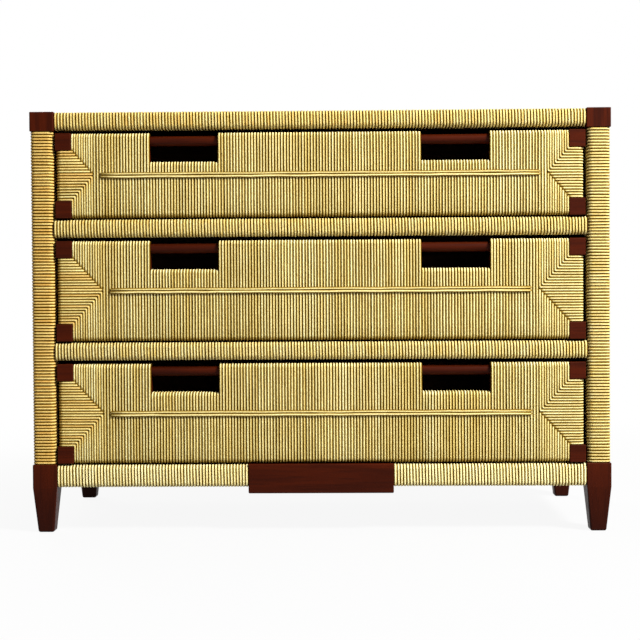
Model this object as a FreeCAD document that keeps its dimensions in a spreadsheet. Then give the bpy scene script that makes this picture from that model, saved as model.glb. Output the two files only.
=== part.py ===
"""A low chest of three drawers: a dark hardwood frame wound in straw cord, with woven cord panels.

Millimetres, +Z up, front towards -Y, origin on the floor under the middle of the chest.
The sheet Sizes holds the driving dimensions, and Places holds what is worked out from them.
"""
import FreeCAD, Part
import os
import re

import Sketcher
from FreeCAD import Placement, Rotation, Vector

SIZES = {
    # Case, outside
    "width": 1118,
    "depth": 480,
    # Corner posts and their tapered legs
    "post_size": 47,
    "post_corner_radius": 2.2,
    "foot_size": 31,
    "foot_corner_radius": 5.2,
    "foot_round": 4.5,
    "leg_clear": 87,
    "wood_arris": 1.5,
    # Cord and the frame members that it is wound on
    "cord_thickness": 5.8,
    "cord_recess": 1,
    "cord_shift": 1,
    "core_radius": 5,
    "leg_block_overlap": 1,
    "top_block_overlap": 2.5,
    "bottom_rail_height": 44.5,
    "divider_height": 35,
    "top_rail_height": 35,
    "tenon_length": 12,
    "tenon_thickness": 12,
    "tenon_height": 16,
    # Drawer fronts
    "upper_front_height": 163.8,
    "middle_front_height": 194.2,
    "lower_front_height": 193.2,
    "front_gap_below": 2.5,
    "front_gap_above": 6.5,
    "front_gap_side": 3.5,
    "front_board": 22,
    "panel_recess": 2.5,
    "corner_block_width": 31,
    "corner_block_height": 33,
    "corner_block_proud": 1,
    "seam_pitch": 5.4,
    # Finger notches and the pull rods in them
    "notch_width": 135.5,
    "notch_depth": 55.6,
    "notch_spacing": 522,
    "rod_diameter": 19,
    "rod_drop": 5.5,
    "rod_tenon_diameter": 9,
    "rod_tenon_length": 10,
    # Apron block on the bottom rail
    "apron_width": 281,
    "apron_drop": 11.5,
    "apron_round": 2.5,
    # Panels that close the case
    "panel_board": 12,
    "top_recess": 3.5,
    "panel_gap": 0.3,
    "back_board": 9,
    "screw_diameter": 4,
    "screw_length": 30,
    "screw_head_diameter": 8,
    "screw_head_height": 2.6,
    # Drawer boxes and what they run on
    "drawer_side": 12,
    "drawer_side_inset": 3,
    "drawer_top_drop": 20,
    "drawer_back_gap": 18.5,
    "bottom_board": 6,
    "bottom_rise": 8,
    "groove_depth": 6,
    "bearer_thickness": 10,
    "bearer_reach": 33,
    "guide_height": 30,
    "guide_gap": 0.5,
    "kicker_width": 23.5,
    "kicker_gap": 2,
    # Clearances, and how far a cut runs past its piece
    "fit_gap": 0.3,
    "joint_gap": 0.1,
    "overrun": 2,
}

PLACES = {
    # Plan
    "half_width": "width / 2",
    "half_depth": "depth / 2",
    "wrap_size": "post_size - 2 * cord_recess",
    "core_size": "wrap_size - 2 * cord_thickness",
    "wrap_radius": "core_radius + cord_thickness",
    "post_x": "half_width - post_size / 2",
    "post_y": "half_depth - post_size / 2",
    "bare_x": "half_width - post_size",
    "bare_y": "half_depth - post_size",
    "wrap_x": "post_x + cord_shift",
    "inner_x": "wrap_x - wrap_size / 2",
    "inner_y": "post_y - wrap_size / 2",
    "cord_x": "wrap_x + wrap_size / 2",
    "cord_y": "post_y + wrap_size / 2",
    "core_reach": "wrap_x - core_size / 2",
    # Levels, from the floor up
    "bottom_rail_z": "leg_clear",
    "bottom_rail_top": "bottom_rail_z + bottom_rail_height",
    "lower_front_z": "bottom_rail_top + front_gap_below",
    "lower_front_top": "lower_front_z + lower_front_height",
    "lower_divider_z": "lower_front_top + front_gap_above",
    "lower_divider_top": "lower_divider_z + divider_height",
    "middle_front_z": "lower_divider_top + front_gap_below",
    "middle_front_top": "middle_front_z + middle_front_height",
    "upper_divider_z": "middle_front_top + front_gap_above",
    "upper_divider_top": "upper_divider_z + divider_height",
    "upper_front_z": "upper_divider_top + front_gap_below",
    "upper_front_top": "upper_front_z + upper_front_height",
    "top_rail_z": "upper_front_top + front_gap_above",
    "top_rail_top": "top_rail_z + top_rail_height",
    "height": "top_rail_top",
    "leg_block_top": "bottom_rail_top + leg_block_overlap",
    "top_block_z": "top_rail_z - top_block_overlap",
    # Case panels
    "panel_low": "leg_block_top + panel_gap",
    "panel_high": "top_block_z - panel_gap",
    "side_face_x": "cord_x - panel_recess",
    "side_inside_x": "side_face_x - cord_thickness - panel_board",
    "top_face_z": "height - top_recess",
    "top_inside_z": "top_face_z - cord_thickness - panel_board",
    "back_half": "side_inside_x - panel_gap",
    "back_front_y": "inner_y - back_board",
    "back_low": "bottom_rail_z + bottom_rail_height / 2",
    "back_high": "top_inside_z - panel_gap",
    "back_neck": "bare_x - panel_gap",
    "screw_x": "(inner_x + back_half) / 2",
    # Drawers
    "front_half": "inner_x - front_gap_side",
    "front_face_y": "-cord_y + panel_recess",
    "front_back_y": "front_face_y + cord_thickness + front_board",
    "box_half": "front_half - drawer_side_inset",
    "box_inside": "box_half - drawer_side",
    "box_rear_y": "back_front_y - drawer_back_gap",
    "box_rise": "bearer_thickness + 2 * fit_gap - front_gap_below",
    "bearer_inside_x": "box_half - bearer_reach + fit_gap",
    "guide_x": "box_half + guide_gap",
    "runner_front_y": "-bare_y + fit_gap",
}

SIDES = {"left": -1, "right": 1}
ENDS = {"front": -1, "rear": 1}
DRAWERS = ("lower", "middle", "upper")
RAIL_BELOW = {"lower": "bottom_rail_top", "middle": "lower_divider_top", "upper": "upper_divider_top"}
DIVIDERS = ("upper_divider", "lower_divider")
SCREW_ROW_SHARES = (0.06, 0.36, 0.64, 0.94)
UNIT_BOX = Part.makeBox(1, 1, 1)
ALONG_X = "YZ_Plane"
ALONG_Y = "XZ_Plane"

doc = FreeCAD.newDocument("chest")
pieces = []


# Sheet and worked-out places
def fill_sheet():
    """Writes each driving dimension to its own cell, under its own alias."""
    sheet = doc.addObject("Spreadsheet::Sheet", "Sizes")
    for row, (alias, size) in enumerate(SIZES.items(), start=1):
        sheet.set(f"A{row}", alias)
        sheet.set(f"B{row}", str(size))
        sheet.setAlias(f"B{row}", alias)
    doc.recompute()


def work_out_places():
    """Binds each worked-out place to the sheet."""
    places = doc.addObject("App::VarSet", "Places")
    for name, text in PLACES.items():
        places.addProperty("App::PropertyFloat", name)
        places.setExpression(name, formula(text))
    doc.recompute()


def formula(text):
    """Turns plain names of sizes and places into references to the document."""
    def reference(match):
        word = match.group()
        if word in SIZES:
            return "Sizes." + word
        if word in PLACES:
            return "Places." + word
        raise ValueError(f"no size or place is called {word}")
    return re.sub(r"[a-z_]+", reference, text)


def measure(text):
    """The present value of a formula, for a sketch's first guess."""
    return float(doc.Places.evalExpression(formula(text)))


def bind(item, bindings):
    """Binds properties of an object to formulas."""
    for name, text in bindings.items():
        item.setExpression(name, formula(text))


def put(item, x="0", y="0", z="0", turn=None):
    """Places an object, turned first where it has a turn."""
    if turn is not None:
        item.Placement = Placement(Vector(), turn)
    bind(item, {"Placement.Base.x": x, "Placement.Base.y": y, "Placement.Base.z": z})
    return item


def finish(label, item):
    """Gives a finished piece its label and keeps it for writing."""
    item.Label = label
    pieces.append(item)
    return item


# Ranges along one axis, as pairs of formulas
def span(half):
    """A range centred on zero."""
    return f"-({half})", half


def edge_span(sign, outer, thickness):
    """A range that starts at an outer face, on either side of zero, and goes inwards."""
    if sign > 0:
        return f"{outer} - ({thickness})", outer
    return f"-({outer})", f"-({outer}) + {thickness}"


def above(low, thickness):
    """A range that starts at a level and goes up."""
    return low, f"{low} + {thickness}"


# Solids
def size_box(item, x, y, z):
    """Binds a box to its ranges."""
    bind(item, {
        "Length": f"{x[1]} - ({x[0]})",
        "Width": f"{y[1]} - ({y[0]})",
        "Height": f"{z[1]} - ({z[0]})",
    })
    return put(item, x[0], y[0], z[0])


def box(name, x, y, z):
    """A plain box, free or as a tool for a cut."""
    return size_box(doc.addObject("Part::Box", name), x, y, z)


def rod(name, radius, low, length, x="0", y="0", z="0", along="x"):
    """A cylinder along X, or along Y, that starts at a place on its axis."""
    item = doc.addObject("Part::Cylinder", name)
    bind(item, {"Radius": radius, "Height": length})
    if along == "x":
        return put(item, f"{x} + {low}", y, z, Rotation(Vector(0, 1, 0), 90))
    return put(item, x, f"{y} + {low}", z, Rotation(Vector(1, 0, 0), -90))


def joined(name, members):
    """One solid from several."""
    item = doc.addObject("Part::MultiFuse", name)
    item.Shapes = members
    item.Refine = True
    return item


def cut(name, base, tool):
    """A solid with another taken away."""
    item = doc.addObject("Part::Cut", name)
    item.Base = base
    item.Tool = tool
    return item


def group(name, members):
    """Separate solids that make one piece's set."""
    item = doc.addObject("Part::Compound", name)
    item.Links = members
    return item


def new_body(name):
    """An empty body."""
    return doc.addObject("PartDesign::Body", name)


def rounded_outline(sketch, name, across, along, corner):
    """Adds a rounded rectangle, centred on the sketch's origin, with its three sizes bound."""
    half_across, half_along, radius = measure(across) / 2, measure(along) / 2, measure(corner)
    inner_across, inner_along = half_across - radius, half_along - radius
    quarter = 90
    corners = ((1, -1), (1, 1), (-1, 1), (-1, -1))
    first = sketch.GeometryCount
    for number, (right, up) in enumerate(corners):
        centre = Vector(right * inner_across, up * inner_along, 0)
        start = FreeCAD.Units.Quantity(f"{(number - 1) * quarter} deg").getValueAs("rad").Value
        end = FreeCAD.Units.Quantity(f"{number * quarter} deg").getValueAs("rad").Value
        circle = Part.Circle(centre, Vector(0, 0, 1), radius)
        arc = Part.ArcOfCircle(circle, start, end)
        sketch.addGeometry(arc)
        next_right, next_up = corners[(number + 1) % len(corners)]
        next_centre = Vector(next_right * inner_across, next_up * inner_along, 0)
        outwards = arc.EndPoint - centre
        sketch.addGeometry(Part.LineSegment(arc.EndPoint, next_centre + outwards))
    arcs = [first + 2 * number for number in range(len(corners))]
    lines = [arc + 1 for arc in arcs]
    for number, (arc, line) in enumerate(zip(arcs, lines)):
        following = arcs[(number + 1) % len(arcs)]
        sketch.addConstraint(Sketcher.Constraint("Tangent", arc, 2, line, 1))
        sketch.addConstraint(Sketcher.Constraint("Tangent", line, 2, following, 1))
        sketch.addConstraint(Sketcher.Constraint("Vertical" if number % 2 == 0 else "Horizontal", line))
        if number:
            sketch.addConstraint(Sketcher.Constraint("Equal", arcs[0], arc))
    sketch.addConstraint(Sketcher.Constraint("Symmetric", arcs[0], 3, arcs[2], 3, -1, 1))
    right_line, top_line, left_line, bottom_line = lines
    sizes = {
        "corner": (Sketcher.Constraint("Radius", arcs[0], radius), corner),
        "across": (Sketcher.Constraint("DistanceX", left_line, 1, right_line, 1, 2 * half_across), across),
        "along": (Sketcher.Constraint("DistanceY", bottom_line, 1, top_line, 1, 2 * half_along), along),
    }
    for word, (constraint, text) in sizes.items():
        index = sketch.addConstraint(constraint)
        sketch.renameConstraint(index, f"{name}_{word}")
        sketch.setExpression(f"Constraints.{name}_{word}", formula(text))


def section(body, name, plane, outlines, offset="0", shift="0"):
    """A sketch of one or more rounded rectangles on one of the body's own planes, or moved along its X."""
    sketch = body.newObject("Sketcher::SketchObject", f"{body.Name}_{name}")
    support = next(item for item in body.Origin.OriginFeatures if item.Role == plane)
    sketch.AttachmentSupport = [(support, "")]
    sketch.MapMode = "FlatFace"
    bind(sketch, {"AttachmentOffset.Base.x": shift, "AttachmentOffset.Base.z": offset})
    for word, sizes in outlines.items():
        rounded_outline(sketch, word, *sizes)
    return sketch


def pad(body, sketch, length, symmetric=False):
    """Gives a sketch its length, one way or evenly both ways."""
    feature = body.newObject("PartDesign::Pad", f"{sketch.Name}_pad")
    feature.Profile = sketch
    feature.SideType = "Symmetric" if symmetric else "One side"
    bind(feature, {"Length": length})
    return feature


def loft(body, lower, upper):
    """A tapered stretch between two sketches."""
    feature = body.newObject("PartDesign::AdditiveLoft", f"{lower.Name}_loft")
    feature.Profile = lower
    feature.Sections = [upper]
    feature.Ruled = True
    return feature


def soften(body, edges, radius):
    """Rounds edges of the body's last feature."""
    last = body.Tip
    feature = body.newObject("PartDesign::Fillet", f"{body.Name}_soft")
    feature.Base = (last, edges)
    bind(feature, {"Radius": radius})
    return feature


def level_edges(shape, levels, beyond):
    """Names of the edges that lie flat at given levels, further than a distance from the axis."""
    near = measure("joint_gap")
    heights = [measure(level) for level in levels]
    names = []
    for number, edge in enumerate(shape.Edges, start=1):
        low, high = edge.BoundBox.ZMin, edge.BoundBox.ZMax
        middle = edge.CenterOfMass
        level = any(abs(low - height) < near and abs(high - height) < near for height in heights)
        if level and max(abs(middle.x), abs(middle.y)) > measure(beyond):
            names.append(f"Edge{number}")
    return names


def box_edges(keep):
    """Names of a box's edges, picked by their middles on a unit box."""
    middles = [edge.CenterOfMass for edge in UNIT_BOX.Edges]
    return [f"Edge{number}" for number, middle in enumerate(middles, start=1) if keep(middle)]


def soft_box(name, x, y, z, edges, radius):
    """A box with some of its edges rounded."""
    body = new_body(name)
    size_box(body.newObject("PartDesign::AdditiveBox", f"{name}_blank"), x, y, z)
    soften(body, edges, radius)
    return body


def cut_box(body, name, x, y, z):
    """A box taken out of a body."""
    return size_box(body.newObject("PartDesign::SubtractiveBox", f"{body.Name}_{name}"), x, y, z)


def drill(body, name, x, y, z, radius, length):
    """A hole along +Y taken out of a body."""
    feature = body.newObject("PartDesign::SubtractiveCylinder", f"{body.Name}_{name}")
    bind(feature, {"Radius": radius, "Height": length})
    return put(feature, x, y, z, Rotation(Vector(1, 0, 0), -90))


# Frame: posts, rails and the cord wound on them
def rail_levels(name):
    """Low level and height of a rail, by its name in the sheet."""
    heights = {"top": "top_rail_height", "bottom": "bottom_rail_height"}
    word = name.split("_")[0]
    if name in DIVIDERS:
        return f"{name}_z", "divider_height"
    return f"{word}_rail_z", heights[word]


def middle_level(name):
    """Level of a rail's axis."""
    low, height = rail_levels(name)
    return f"{low} + {height} / 2"


def core_outline(name):
    """Section of a rail's core, inside its cord."""
    height = rail_levels(name)[1]
    return "core_size", f"{height} - 2 * cord_thickness", "core_radius"


def wound_outline(name):
    """Section of a rail over its cord."""
    return "wrap_size", rail_levels(name)[1], "wrap_radius"


def screw_rows():
    """Levels of the screws in the back panel."""
    return [f"panel_low + {share} * (panel_high - panel_low)" for share in SCREW_ROW_SHARES]


def post(end, side):
    """A square post: tapered leg, bare lower block, core under the cord and bare top block."""
    body = new_body(f"post_{end}_{side}")
    bare = ("post_size", "post_size", "post_corner_radius")
    foot = ("foot_size", "foot_size", "foot_corner_radius")
    sole = section(body, "sole", "XY_Plane", {"sole": foot})
    shoulder = section(body, "shoulder", "XY_Plane", {"shoulder": bare}, "leg_clear")
    loft(body, sole, shoulder)
    lower = section(body, "lower", "XY_Plane", {"lower": bare}, "leg_clear")
    pad(body, lower, "leg_block_top - leg_clear")
    slim = ("core_size", "core_size", "core_radius")
    core = section(body, "core", "XY_Plane", {"core": slim}, "leg_block_top", f"{SIDES[side]} * cord_shift")
    pad(body, core, "top_block_z - leg_block_top")
    upper = section(body, "upper", "XY_Plane", {"upper": bare}, "top_block_z")
    pad(body, upper, "height - top_block_z")
    doc.recompute()
    soften(body, level_edges(body.Tip.Shape, ("0",), "0"), "foot_round")
    doc.recompute()
    bare_levels = ("leg_block_top", "top_block_z", "height")
    soften(body, level_edges(body.Tip.Shape, bare_levels, "wrap_size / 2"), "wood_arris")
    inwards_x, inwards_y = -SIDES[side], -ENDS[end]
    depth = "tenon_length + joint_gap + overrun"
    across = span("tenon_thickness / 2 + joint_gap")
    for name in ("top", "bottom"):
        middle = middle_level(name)
        up = (f"{middle} - tenon_height / 2 - joint_gap", f"{middle} + tenon_height / 2 + joint_gap")
        inwards = edge_span(inwards_x, "post_size / 2 + overrun", depth)
        cut_box(body, f"{name}_mortise", inwards, across, up)
        inwards = edge_span(inwards_y, "post_size / 2 + overrun", depth)
        cut_box(body, f"{name}_side_mortise", across, inwards, up)
    if end == "front":
        for name in DIVIDERS:
            middle = middle_level(name)
            up = (f"{middle} - tenon_height / 2 - joint_gap", f"{middle} + tenon_height / 2 + joint_gap")
            inwards = edge_span(inwards_x, "core_size / 2 - cord_shift + overrun", depth)
            cut_box(body, f"{name}_mortise", inwards, across, up)
    else:
        drill_for_screws(body, side, "post_x")
    put(body, f"{SIDES[side]} * post_x", f"{ENDS[end]} * post_y")
    return finish(f"post_{end}_{side}", body)


def drill_for_screws(body, side, axis):
    """Pilot holes for the back panel's screws, in a rear post or in its cord."""
    across = f"{SIDES[side]} * (screw_x - {axis})"
    for number, level in enumerate(screw_rows(), start=1):
        start = "-wrap_size / 2 - overrun"
        length = "overrun + screw_length - back_board + fit_gap"
        drill(body, f"pilot_{number}", across, start, level, "screw_diameter / 2 + joint_gap", length)


def post_wrap(end, side):
    """The cord wound on a post, as one sleeve."""
    body = new_body(f"post_wrap_{end}_{side}")
    outlines = {
        "outside": ("wrap_size", "wrap_size", "wrap_radius"),
        "inside": ("core_size", "core_size", "core_radius"),
    }
    pad(body, section(body, "sleeve", "XY_Plane", outlines, "leg_block_top"), "top_block_z - leg_block_top")
    if end == "front":
        for name in DIVIDERS:
            middle = middle_level(name)
            half = "divider_height / 2 - cord_thickness + joint_gap"
            inwards = edge_span(-SIDES[side], "wrap_size / 2 + overrun", "cord_thickness + overrun")
            up = (f"{middle} - ({half})", f"{middle} + {half}")
            cut_box(body, f"{name}_slot", inwards, span("core_size / 2 + joint_gap"), up)
    else:
        drill_for_screws(body, side, "wrap_x")
    put(body, f"{SIDES[side]} * wrap_x", f"{ENDS[end]} * post_y")
    return finish(f"post_wrap_{end}_{side}", body)


def rail_core(label, name, plane, reach, x, y, outline=None):
    """A rail with its tenons, on its own axis."""
    body = new_body(label)
    pad(body, section(body, "core", plane, {"core": outline or core_outline(name)}), f"2 * ({reach})", True)
    tenon = ("tenon_thickness", "tenon_height", "wood_arris")
    pad(body, section(body, "tenon", plane, {"tenon": tenon}), f"2 * ({reach} + tenon_length)", True)
    return finish(label, put(body, x, y, middle_level(name)))


def rail_sleeve(label, name, plane, reach, x, y):
    """The cord wound on a rail, as one sleeve."""
    body = new_body(label)
    outlines = {"outside": wound_outline(name), "inside": core_outline(name)}
    pad(body, section(body, "sleeve", plane, outlines), f"2 * ({reach})", True)
    return put(body, x, y, middle_level(name))


def front_rails():
    """The four rails across the front, and the apron block on the lowest."""
    rail_core("top_front_rail", "top", ALONG_X, "bare_x", "0", "-post_y")
    finish("top_front_rail_wrap", rail_sleeve("top_front_sleeve", "top", ALONG_X, "bare_x", "0", "-post_y"))
    for name in DIVIDERS:
        rail_core(f"{name}_rail", name, ALONG_X, "core_reach", "0", "-post_y")
        finish(f"{name}_rail_wrap", rail_sleeve(f"{name}_sleeve", name, ALONG_X, "inner_x", "0", "-post_y"))
    rail_core("bottom_front_rail", "bottom", ALONG_X, "bare_x", "0", "-post_y")
    whole = rail_sleeve("bottom_front_sleeve", "bottom", ALONG_X, "bare_x", "0", "-post_y")
    room = box(
        "apron_room",
        span("apron_width / 2"),
        ("-half_depth", "-bare_y"),
        ("bottom_rail_z - overrun", "bottom_rail_top + overrun"),
    )
    finish("bottom_front_rail_wrap", cut("bottom_front_spans", whole, room))
    apron_block()


def apron_block():
    """A saddle of bare wood that hangs a little below the bottom rail."""
    y = ("-half_depth", "-bare_y")
    z = ("bottom_rail_z - apron_drop", "leg_block_top")
    edges = box_edges(lambda middle: middle.y == 0 or (middle.z == 0 and middle.y != 1))
    body = soft_box("apron", span("apron_width / 2"), y, z, edges, "apron_round")
    half = "core_size / 2 + joint_gap"
    low = "bottom_rail_z + cord_thickness - joint_gap"
    slot_y = (f"-post_y - ({half})", f"-post_y + {half}")
    cut_box(body, "saddle", span("apron_width / 2 + overrun"), slot_y, (low, "leg_block_top + overrun"))
    finish("apron_block", body)


def rear_rails():
    """Two rails across the back: the top one wound, the bottom one bare."""
    rail_core("top_rear_rail", "top", ALONG_X, "bare_x", "0", "post_y")
    finish("top_rear_rail_wrap", rail_sleeve("top_rear_sleeve", "top", ALONG_X, "bare_x", "0", "post_y"))
    bare = ("wrap_size", "bottom_rail_height", "wood_arris")
    rail_core("bottom_rear_rail", "bottom", ALONG_X, "bare_x", "0", "post_y", bare)


def side_rails(side):
    """Top and bottom rails of one side, and the cord wound on both."""
    x = f"{SIDES[side]} * post_x"
    sleeves = []
    for name in ("top", "bottom"):
        rail_core(f"{name}_side_rail_{side}", name, ALONG_Y, "bare_y", x, "0")
        sleeves.append(rail_sleeve(f"{name}_side_sleeve_{side}", name, ALONG_Y, "bare_y", x, "0"))
    finish(f"side_rail_wraps_{side}", group(f"side_sleeves_{side}", sleeves))


# Woven panels: a board with corner blocks, and the cord over it
def woven_panel(name, half_length, half_height, board, notched=False):
    """Board and cord of a panel in its own frame: X along, Z across, cord face at y = 0 towards -Y.

    Gives the board's members, which a drawer front still cuts, and the finished cord.
    """
    back = f"cord_thickness + {board}"
    depth = ("cord_thickness", back)
    inside = (span(f"{half_length} - cord_thickness"), span(f"{half_height} - cord_thickness"))
    core = box(f"{name}_core", inside[0], depth, inside[1])
    notches = []
    if notched:
        low = f"{half_height} - notch_depth"
        high = f"{half_height} + overrun"
        deep = notch_boxes(f"{name}_deep_notch", f"{low} - cord_thickness", high, back)
        core = cut(f"{name}_notched_core", core, joined(f"{name}_deep_notches", deep))
        notches = notch_boxes(f"{name}_notch", low, high, back)
    blocks, rooms = [], []
    for right in (-1, 1):
        for up in (-1, 1):
            x = edge_span(right, half_length, "corner_block_width")
            z = edge_span(up, half_height, "corner_block_height")
            word = f"{name}_{'right' if right > 0 else 'left'}_{'upper' if up > 0 else 'lower'}"
            front = ("-corner_block_proud", back)
            edges = box_edges(lambda middle: middle.y != 1)
            blocks.append(soft_box(f"{word}_block", x, front, z, edges, "wood_arris"))
            rooms.append(box(f"{word}_room", x, front, z))
    front_edges = box_edges(lambda middle: middle.y == 0)
    outside = soft_box(
        f"{name}_outside", span(half_length), ("0", back), span(half_height), front_edges, "cord_thickness"
    )
    cover = cut(f"{name}_cover", outside, joined(f"{name}_filled", [core] + rooms + notches))
    apex = f"{half_length} - corner_block_width - ({half_height} - corner_block_height)"
    seam_half = f"({apex} - 2 * cord_thickness)"
    strands = []
    for word, up in (("lower", -1), ("upper", 1)):
        level = f"{up} * seam_pitch / 2"
        run = (f"-{seam_half}", f"2 * {seam_half}")
        strands.append(rod(f"{name}_{word}_strand", "cord_thickness / 2", *run, z=level))
    return [core] + blocks, joined(f"{name}_cord", [cover] + strands)


def notch_boxes(name, low, high, back):
    """The two finger notches of a drawer front, cut right through it."""
    y = ("-corner_block_proud - overrun", f"{back} + overrun")
    boxes = []
    for side, sign in SIDES.items():
        middle = f"{sign} * notch_spacing / 2"
        x = (f"{middle} - notch_width / 2", f"{middle} + notch_width / 2")
        boxes.append(box(f"{name}_{side}", x, y, (low, high)))
    return boxes


def side_panel(side):
    """A woven panel between the posts of one side, its length upright."""
    members, cord = woven_panel(
        f"side_{side}", "(panel_high - panel_low) / 2", "(inner_y - panel_gap)", "panel_board"
    )
    outwards = Vector(SIDES[side], 0, 0)
    upright = Vector(0, 0, 1)
    turn = Rotation(upright, -outwards, upright.cross(-outwards), "XYZ")
    middle = "(panel_low + panel_high) / 2"
    frame = joined(f"side_{side}_board", members)
    finish(f"side_panel_{side}", put(frame, f"{SIDES[side]} * side_face_x", "0", middle, turn))
    finish(f"side_weave_{side}", put(cord, f"{SIDES[side]} * side_face_x", "0", middle, turn))


def top_panel():
    """The woven top, set between the four top rails."""
    members, cord = woven_panel("top", "(bare_x - panel_gap)", "(bare_y - panel_gap)", "panel_board")
    along, down = Vector(1, 0, 0), Vector(0, 0, -1)
    turn = Rotation(along, down, along.cross(down), "XYZ")
    finish("top_panel", put(joined("top_board", members), "0", "0", "top_face_z", turn))
    finish("top_weave", put(cord, "0", "0", "top_face_z", turn))


def back_panel():
    """A plain board inside the rear posts, held by screws, that laps the rails between the blocks."""
    thick = ("back_front_y", "inner_y")
    wide = box("back_wide", span("back_half"), thick, ("panel_low", "panel_high"))
    tall = box("back_tall", span("back_neck"), thick, ("back_low", "back_high"))
    blank = joined("back_blank", [wide, tall])
    screws, holes = [], []
    for side, sign in SIDES.items():
        for row, level in enumerate(screw_rows(), start=1):
            at = {"x": f"{sign} * screw_x", "y": "back_front_y", "z": level}
            screws.append(joined(f"screw_{side}_{row}", screw_members(f"screw_{side}_{row}", at, "0")))
            holes += screw_members(f"screw_hole_{side}_{row}", at, "joint_gap")
    finish("back_panel", cut("back_drilled", blank, joined("screw_holes", holes)))
    finish("back_panel_screws", group("screws", screws))


def screw_members(name, at, gap):
    """Head and shank of a countersunk screw, or of its hole with a gap all round."""
    head = doc.addObject("Part::Cone", f"{name}_head")
    bind(head, {
        "Radius1": f"screw_head_diameter / 2 + {gap}",
        "Radius2": f"screw_diameter / 2 + {gap}",
        "Height": "screw_head_height",
    })
    put(head, at["x"], at["y"], at["z"], Rotation(Vector(1, 0, 0), -90))
    shank = rod(f"{name}_shank", f"screw_diameter / 2 + {gap}", "0", "screw_length", along="y", **at)
    return [head, shank]


# Inside the case: what closes it below, and what the drawers run on
def bottom_panel():
    """A plain board between the bottom rails."""
    deep = ("-bare_y + panel_gap", "back_front_y - panel_gap")
    low = "back_low - back_board / 2"
    finish("bottom_panel", box("bottom_board_blank", span("back_neck"), deep, above(low, "back_board")))


def runners():
    """Bearers under the drawers, guides beside them, stops behind and kickers over the upper one."""
    bearers, guides, stops, kickers = [], [], [], []
    run = ("runner_front_y", "back_front_y")
    for side, sign in SIDES.items():
        for drawer in DRAWERS:
            low = f"{RAIL_BELOW[drawer]} + fit_gap"
            top = f"{low} + bearer_thickness"
            wide = edge_span(sign, "side_inside_x", "side_inside_x - bearer_inside_x")
            beside = edge_span(sign, "side_inside_x", "side_inside_x - guide_x")
            behind = edge_span(sign, "box_half", "box_half - bearer_inside_x")
            bearers.append(box(f"bearer_{drawer}_{side}", wide, run, above(low, "bearer_thickness")))
            guides.append(box(f"guide_{drawer}_{side}", beside, run, above(top, "guide_height")))
            stop_run = ("box_rear_y + fit_gap", "back_front_y")
            stops.append(box(f"stop_{drawer}_{side}", behind, stop_run, above(top, "guide_height")))
        over = edge_span(sign, "box_half + drawer_side_inset + guide_gap", "kicker_width")
        long = ("-inner_y + fit_gap", "back_front_y")
        up = ("upper_front_top - drawer_top_drop + kicker_gap", "top_inside_z")
        kickers.append(box(f"kicker_{side}", over, long, up))
    finish("drawer_bearers", group("bearers", bearers))
    finish("drawer_guides", group("guides", guides))
    finish("drawer_stops", group("stops", stops))
    finish("kickers", group("kicker_pair", kickers))


# Drawers
def drawer_front(drawer):
    """Notched board with corner blocks, the cord over it and the two pull rods."""
    half_height = f"({drawer}_front_height / 2)"
    name = f"{drawer}_drawer"
    members, cord = woven_panel(name, "front_half", half_height, "front_board", notched=True)
    middle = {"y": "front_face_y", "z": f"{drawer}_front_z + {half_height}"}
    rod_y = "cord_thickness + front_board / 2"
    rod_z = f"{half_height} - rod_drop - rod_diameter / 2"
    sockets, rods = [], []
    for side, sign in SIDES.items():
        start = f"{sign} * notch_spacing / 2"
        socket_half = "(notch_width / 2 + rod_tenon_length + joint_gap)"
        tenon_half = "(notch_width / 2 + rod_tenon_length)"
        bar_half = "(notch_width / 2 - joint_gap)"
        at = {"x": start, "y": rod_y, "z": rod_z}
        bore = "rod_tenon_diameter / 2 + joint_gap"
        thin = "rod_tenon_diameter / 2"
        sockets.append(rod(f"{name}_socket_{side}", bore, f"-{socket_half}", f"2 * {socket_half}", **at))
        tenon = rod(f"{name}_tenon_{side}", thin, f"-{tenon_half}", f"2 * {tenon_half}", **at)
        bar = rod(f"{name}_bar_{side}", "rod_diameter / 2", f"-{bar_half}", f"2 * {bar_half}", **at)
        rods.append(joined(f"{name}_rod_{side}", [bar, tenon]))
    back = "cord_thickness + front_board"
    groove_low = f"-{half_height} + box_rise + bottom_rise - joint_gap"
    groove = box(
        f"{name}_front_groove",
        span("box_inside + groove_depth"),
        (f"{back} - groove_depth", f"{back} + overrun"),
        above(groove_low, "bottom_board + 2 * joint_gap"),
    )
    board = joined(f"{name}_board", members)
    frame = cut(f"{name}_frame", board, joined(f"{name}_front_cuts", sockets + [groove]))
    finish(f"{name}_front_frame", put(frame, **middle))
    finish(f"{name}_front_weave", put(cord, **middle))
    finish(f"{name}_pull_rods", put(group(f"{name}_rods", rods), **middle))


def drawer_box(drawer):
    """Sides, back and bottom of a drawer, behind its front."""
    name = f"{drawer}_drawer"
    low = f"{drawer}_front_z + box_rise"
    high = f"{drawer}_front_top - drawer_top_drop"
    floor = f"{low} + bottom_rise"
    for side, sign in SIDES.items():
        blank = box(
            f"{name}_{side}_blank",
            edge_span(sign, "box_half", "drawer_side"),
            ("front_back_y", "box_rear_y"),
            (low, high),
        )
        groove = box(
            f"{name}_{side}_groove",
            edge_span(sign, "box_inside + groove_depth", "groove_depth + overrun"),
            ("front_back_y - overrun", "box_rear_y + overrun"),
            above(f"{floor} - joint_gap", "bottom_board + 2 * joint_gap"),
        )
        finish(f"{name}_side_{side}", cut(f"{name}_{side}_grooved", blank, groove))
    back_y = ("box_rear_y - drawer_side", "box_rear_y")
    back_z = (f"{floor} + bottom_board", high)
    finish(f"{name}_back", box(f"{name}_back_board", span("box_inside"), back_y, back_z))
    bottom_y = ("front_back_y - groove_depth + joint_gap", "box_rear_y")
    bottom_x = span("box_inside + groove_depth - joint_gap")
    finish(f"{name}_bottom", box(f"{name}_bottom_board", bottom_x, bottom_y, above(floor, "bottom_board")))


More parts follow.
